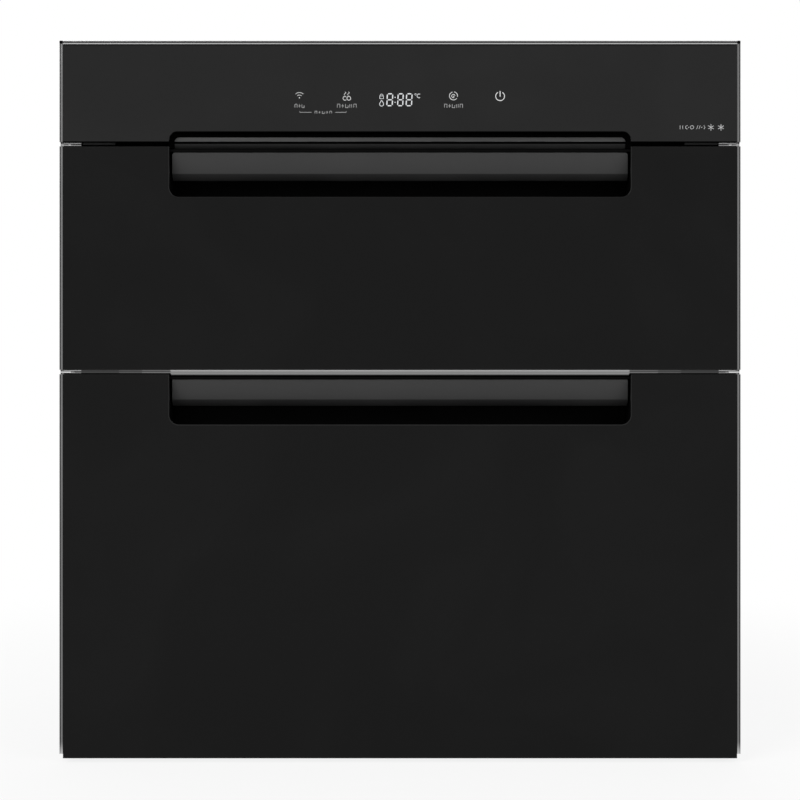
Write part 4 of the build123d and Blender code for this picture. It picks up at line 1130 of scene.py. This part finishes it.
screw = add_rod("screw", HEAD_RADIUS, 0, HEAD_HEIGHT)
round_rim(screw, HEAD_RADIUS, HEAD_HEIGHT, HEAD_ROUNDING, 5)
for turn in (0, 90):
    blade = add_block("recess", (-RECESS_HALF, -RECESS_HALF_WIDTH, HEAD_HEIGHT - RECESS_DEPTH),
                      (RECESS_HALF, RECESS_HALF_WIDTH, HEAD_HEIGHT + PAST))
    blade.rotation_euler = (0, 0, math.radians(turn))
    cut_out(screw, settle(blade, "recess"))
shank = add_rod("shank", SHANK_RADIUS, -SHANK_LENGTH, NEAR, 16)
screw = smooth(join("screw", [screw, shank]), 35)
print("one screw has", len(screw.data.polygons), "faces")

# %% Finding and laying
SCREW_X = 270.0 * MM
BACK_FACE = 217.0 * MM
COVER_FACE = 598.0 * MM
SCREW_GAP = 20.0            # in mm; less than this apart is the same screw


def centres(values, gap):
    """Splits numbers into clusters and gives each cluster's middle."""
    values = sorted(values)
    clusters = [[values[0]]]
    for value in values[1:]:
        if value - clusters[-1][-1] > gap:
            clusters.append([])
        clusters[-1].append(value)
    return [(c[0] + c[-1]) / 2 for c in clusters]


def lay(piece, turn, place):
    """Turns a piece by three angles in degrees and puts it in place."""
    piece.rotation_euler = [math.radians(angle) for angle in turn]
    piece.location = place
    return settle(piece, "laid")


# %% Put the screws where the CAD has them
low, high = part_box("cabinet_screws")
points = [v.co for v in nodes["cabinet_screws"].data.vertices]
back_levels = centres({round(p.z / MM, 1) for p in points if p.y > high.y - NEAR}, SCREW_GAP)
cover_places = centres({round(p.y / MM, 1) for p in points if p.z > high.z - NEAR}, SCREW_GAP)
print("screws on the back at", back_levels, "and on the cover at", cover_places)
screws = []
for side in (-1, 1):
    for index, level in enumerate(back_levels):
        screws.append(lay(copy_to(screw, "screw"), (-90, 25 * index + 10 * side, 0),
                          (side * SCREW_X, BACK_FACE, level * MM)))
    for index, place in enumerate(cover_places):
        screws.append(lay(copy_to(screw, "screw"), (0, 0, 40 * index + 15 * side),
                          (side * SCREW_X, place * MM, COVER_FACE)))
bpy.data.objects.remove(screw)
print(len(screws), "screws")
place_piece(join("pan_head_screws", screws), "screw_steel", "cabinet", "cabinet_screws")

# %% [markdown]
# ## Pressed ribs and rivets
#
# Thin sheet drums and bends unless it is stiffened, so the sides, the back and the cover have
# ribs pressed into them, and the sides are riveted to the front frame. A rib is a long low block
# with rounded ends and sloping sides. The sheet itself belongs to the CAD model and isn't cut,
# so each rib is laid on it.

# %% One rib, laid on each sheet
RIB_WIDTH, RIB_HEIGHT = 13.0 * MM, 1.2 * MM
RIB_ROUNDING = 1.1 * MM
SINK = 0.3 * MM             # how deep a rib or rivet stands in its sheet
SIDE_FACE = 278.0 * MM
BACK_RIB, SIDE_RIB, COVER_RIB = 400.0 * MM, 430.0 * MM, 230.0 * MM    # how long each kind is


def make_rib(length):
    """A rib along Y, lying on the ground and rounded at both ends."""
    rib = add_block("rib", (-RIB_WIDTH / 2, -length / 2, -SINK), (RIB_WIDTH / 2, length / 2, RIB_HEIGHT))
    bevel_edges(rib, lambda m, d: abs(d.z) > 0.9, RIB_WIDTH * 0.49, 8)
    bevel_edges(rib, lambda m, d: abs(d.z) < 0.1 and m.z > RIB_HEIGHT - NEAR, RIB_ROUNDING, 3)
    return smooth(rib, 40)


def lay_copies(piece, turn, places):
    """Lays a copy of the piece at each place, in mm, and throws the first one away."""
    laid = []
    for place in places:
        one = copy_to(piece, piece.name)
        laid.append(lay(one, turn, Vector(place) * MM))
    bpy.data.objects.remove(piece)
    return laid


back, side, top = BACK_FACE / MM, SIDE_FACE / MM, COVER_FACE / MM
ribs = lay_copies(make_rib(BACK_RIB), (-90, 0, 0), [(x, back, 330) for x in (-215, -45, 45, 135, 225)])
for way in (-1, 1):
    ribs += lay_copies(make_rib(SIDE_RIB), (90, 0, way * 90), [(way * side, y, 300) for y in (-110, 0, 110)])
ribs += lay_copies(make_rib(COVER_RIB), (0, 0, 90), [(115, y, top) for y in (-100, 0, 100)])
place_piece(join("pressed_ribs", ribs), "galvanised", "cabinet")

# %% Rivets along the front edge of each side
RIVET_RADIUS, RIVET_HEIGHT = 2.6 * MM, 1.1 * MM
RIVET_ROUNDING = 0.9 * MM
RIVET_ROW = -184.0          # in mm, as the levels are
RIVET_LEVELS = range(50, 590, 88)
rivet = add_rod("rivet", RIVET_RADIUS, -SINK, RIVET_HEIGHT, 20)
round_rim(rivet, RIVET_RADIUS, RIVET_HEIGHT, RIVET_ROUNDING, 4)
smooth(rivet, 40)
other = copy_to(rivet, "rivet")
rivets = []
for piece, way in ((rivet, -1), (other, 1)):
    rivets += lay_copies(piece, (0, way * 90, 0), [(way * side, RIVET_ROW, level) for level in RIVET_LEVELS])
place_piece(join("side_rivets", rivets), "screw_steel", "cabinet")

# %% [markdown]
# ## Feet
#
# The cabinet stands on four rubber feet, each a turned puck with a rounded rim and a sunk hole
# for its screw. The hole is what tells a rubber foot from a disc.

# %% One foot, copied to four places
FOOT_RADIUS, FOOT_HEIGHT = 15.0 * MM, 8.0 * MM
FOOT_RIM, FOOT_HOLE = 8.5 * MM, 4.5 * MM
FOOT_EDGE = 0.9 * MM
foot = add_rod("foot", FOOT_RADIUS, 0, FOOT_HEIGHT, 48)
pick(foot, "FACE", lambda m, n: n.z < -0.9)
bpy.ops.mesh.inset(thickness=FOOT_RIM)
bpy.ops.mesh.extrude_region_move(TRANSFORM_OT_translate={"value": (0, 0, FOOT_HOLE)})
bpy.ops.object.mode_set(mode="OBJECT")
round_edges(foot, FOOT_EDGE, 3, 40)
low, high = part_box("feet")
feet = []
for x in (low.x + FOOT_RADIUS, high.x - FOOT_RADIUS):
    for y in (low.y + FOOT_RADIUS, high.y - FOOT_RADIUS):
        feet.append(copy_to(foot, "foot", (x, y, 0)))
bpy.data.objects.remove(foot)
place_piece(join("rubber_foot_set", feet), "rubber_feet", "cabinet", "feet")

# %% [markdown]
# ## Door seals
#
# A silicone seal runs round each window of the cabinet, on the back of the drawer front. It is a
# soft hollow profile, so its section is rounded and its corners turn in an arc. A block with a
# window cut out of it, both with rounded corners, gives that loop, and rounding its edges gives
# the soft section.

# %% Two seals
SEAL_CORNER, SEAL_INNER_CORNER = 9.0 * MM, 5.0 * MM
SEAL_WIDTH = 7.0 * MM
SEAL_EDGE = 1.5 * MM


def rounded_block(name, low, high, corner):
    """A block whose four edges along Y are rounded."""
    return bevel_edges(add_block(name, low, high), lambda m, d: abs(d.y) > 0.9, corner, 8)


for drawer in ("upper", "lower"):
    low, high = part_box(drawer + "_gasket")
    seal = rounded_block(drawer + "_seal", low, high, SEAL_CORNER)
    inner = rounded_block("window", (low.x + SEAL_WIDTH, low.y - PAST, low.z + SEAL_WIDTH),
                          (high.x - SEAL_WIDTH, high.y + PAST, high.z - SEAL_WIDTH), SEAL_INNER_CORNER)
    cut_out(seal, inner)
    round_edges(seal, SEAL_EDGE, 4, 40)
    place_piece(seal, "silicone", drawer + "_drawer", drawer + "_gasket")

# %% [markdown]
# ## Studio
#
# The reference is a product picture: plain white ground, soft light, and a long lens at half
# the height of the front, so that no side shows. The ground stays white without
# brightening the object: the backdrop is white only to rays that come from the camera, a mirror
# or glass, and lights everything else more gently. The floor mixes the same white into a plain
# matt floor, which keeps a soft shadow under the cabinet.

# %% Background
LIGHT_LEVEL = 0.62          # of the surroundings, as light on the object


def seen_rays(tree):
    """1 for a ray from the camera, a mirror or glass."""
    rays = put(tree, "LightPath").outputs
    seen = maths(tree, "MAXIMUM", rays["Is Camera Ray"], rays["Is Glossy Ray"])
    return maths(tree, "MAXIMUM", seen, rays["Is Transmission Ray"])


world = bpy.data.worlds.new("studio")
bpy.context.scene.world = world
world.use_nodes = True
tree = world.node_tree
strength = mix_number(tree, seen_rays(tree), LIGHT_LEVEL, 1.0)
feed(tree, tree.nodes["Background"].inputs, {"Color": (1, 1, 1, 1), "Strength": strength})
print("backdrop: white to the eye, and a light of", LIGHT_LEVEL)

# %% Floor
FLOOR_SIZE = 30.0
NEAR_WHITE = 0.84           # share of plain white under the cabinet
SHADE_REACH = (0.35, 1.1)   # metres from the middle between which that share grows to 1
let_go()
bpy.ops.mesh.primitive_plane_add(size=FLOOR_SIZE, location=(0, 0, 0))
floor = bpy.context.object
floor.name = "floor"
material, tree, surface = new_material("pale_floor")
speckle = noise(tree, object_place(tree), 40.0, 2.0)
tones = mix_colour(tree, speckle, grey(0.78), grey(0.82))
feed(tree, surface.inputs, {"Base Color": tones, "Roughness": 0.9, "Specular IOR Level": 0.0})
white = put(tree, "Emission", {"Color": (1, 1, 1, 1), "Strength": 1.0}).outputs[0]
away = put(tree, "VectorMath", {0: object_place(tree)}, operation="LENGTH").outputs["Value"]
share = maths(tree, "MULTIPLY", seen_rays(tree), soft_step(tree, away, *SHADE_REACH, NEAR_WHITE, 1.0))
mixed = put(tree, "MixShader", {0: share, 1: surface.outputs[0], 2: white}).outputs[0]
feed(tree, tree.nodes["Material Output"].inputs, {"Surface": mixed})
dress(floor, material)
floor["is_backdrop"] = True
print("floor:", FLOOR_SIZE, "m wide")

# %% Lamps
LAMP_AIM = Vector((0, 0, 0.32))


def add_lamp(name, place, size, power):
    """A soft square lamp that points at the middle of the cabinet."""
    let_go()
    bpy.ops.object.light_add(type="AREA", location=place)
    lamp = bpy.context.object
    lamp.name = name
    lamp.data.size = size
    lamp.data.energy = power
    lamp.rotation_euler = (LAMP_AIM - Vector(place)).to_track_quat("-Z", "Y").to_euler()
    print(f"{name}: {power} W, {size} m wide")


add_lamp("key_lamp", (-1.9, -2.6, 2.5), 1.6, 62.0)
add_lamp("fill_lamp", (2.4, -2.2, 1.7), 1.6, 26.0)
add_lamp("back_lamp", (0.6, 2.8, 2.6), 2.0, 26.0)

# %% Camera
CAMERA_DISTANCE = 1.3
CAMERA_HEIGHT = (PICTURE_FOOT - PICTURE_MIDDLE) * PIXEL + FRONT_FOOT
SENSOR = 36.0
PICTURE_WIDTH = 800         # in pixels
let_go()
bpy.ops.object.camera_add(
    location=(0, cad_low.y - CAMERA_DISTANCE, CAMERA_HEIGHT), rotation=(math.pi / 2, 0, 0)
)
camera = bpy.context.object
camera.data.sensor_width = SENSOR
camera.data.lens = SENSOR * CAMERA_DISTANCE / (PICTURE_WIDTH * PIXEL)
camera.data.clip_start, camera.data.clip_end = 0.05, 100.0
bpy.context.scene.camera = camera
bpy.context.scene.view_settings.view_transform = "Standard"
print(f"lens {camera.data.lens:.1f} mm, {CAMERA_DISTANCE} m away, at {CAMERA_HEIGHT:.3f} m")

# %% [markdown]
# ## Size
#
# The pieces that Blender adds should not change the size of the object, so the box of all that
# shows is printed at the end, as the box of the CAD model was at the start. The two should agree.

# %% Print the box of all that shows
let_go()
low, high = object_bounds()
print("visual box in mm:", [round(v / MM, 1) for v in (*low, *high)])
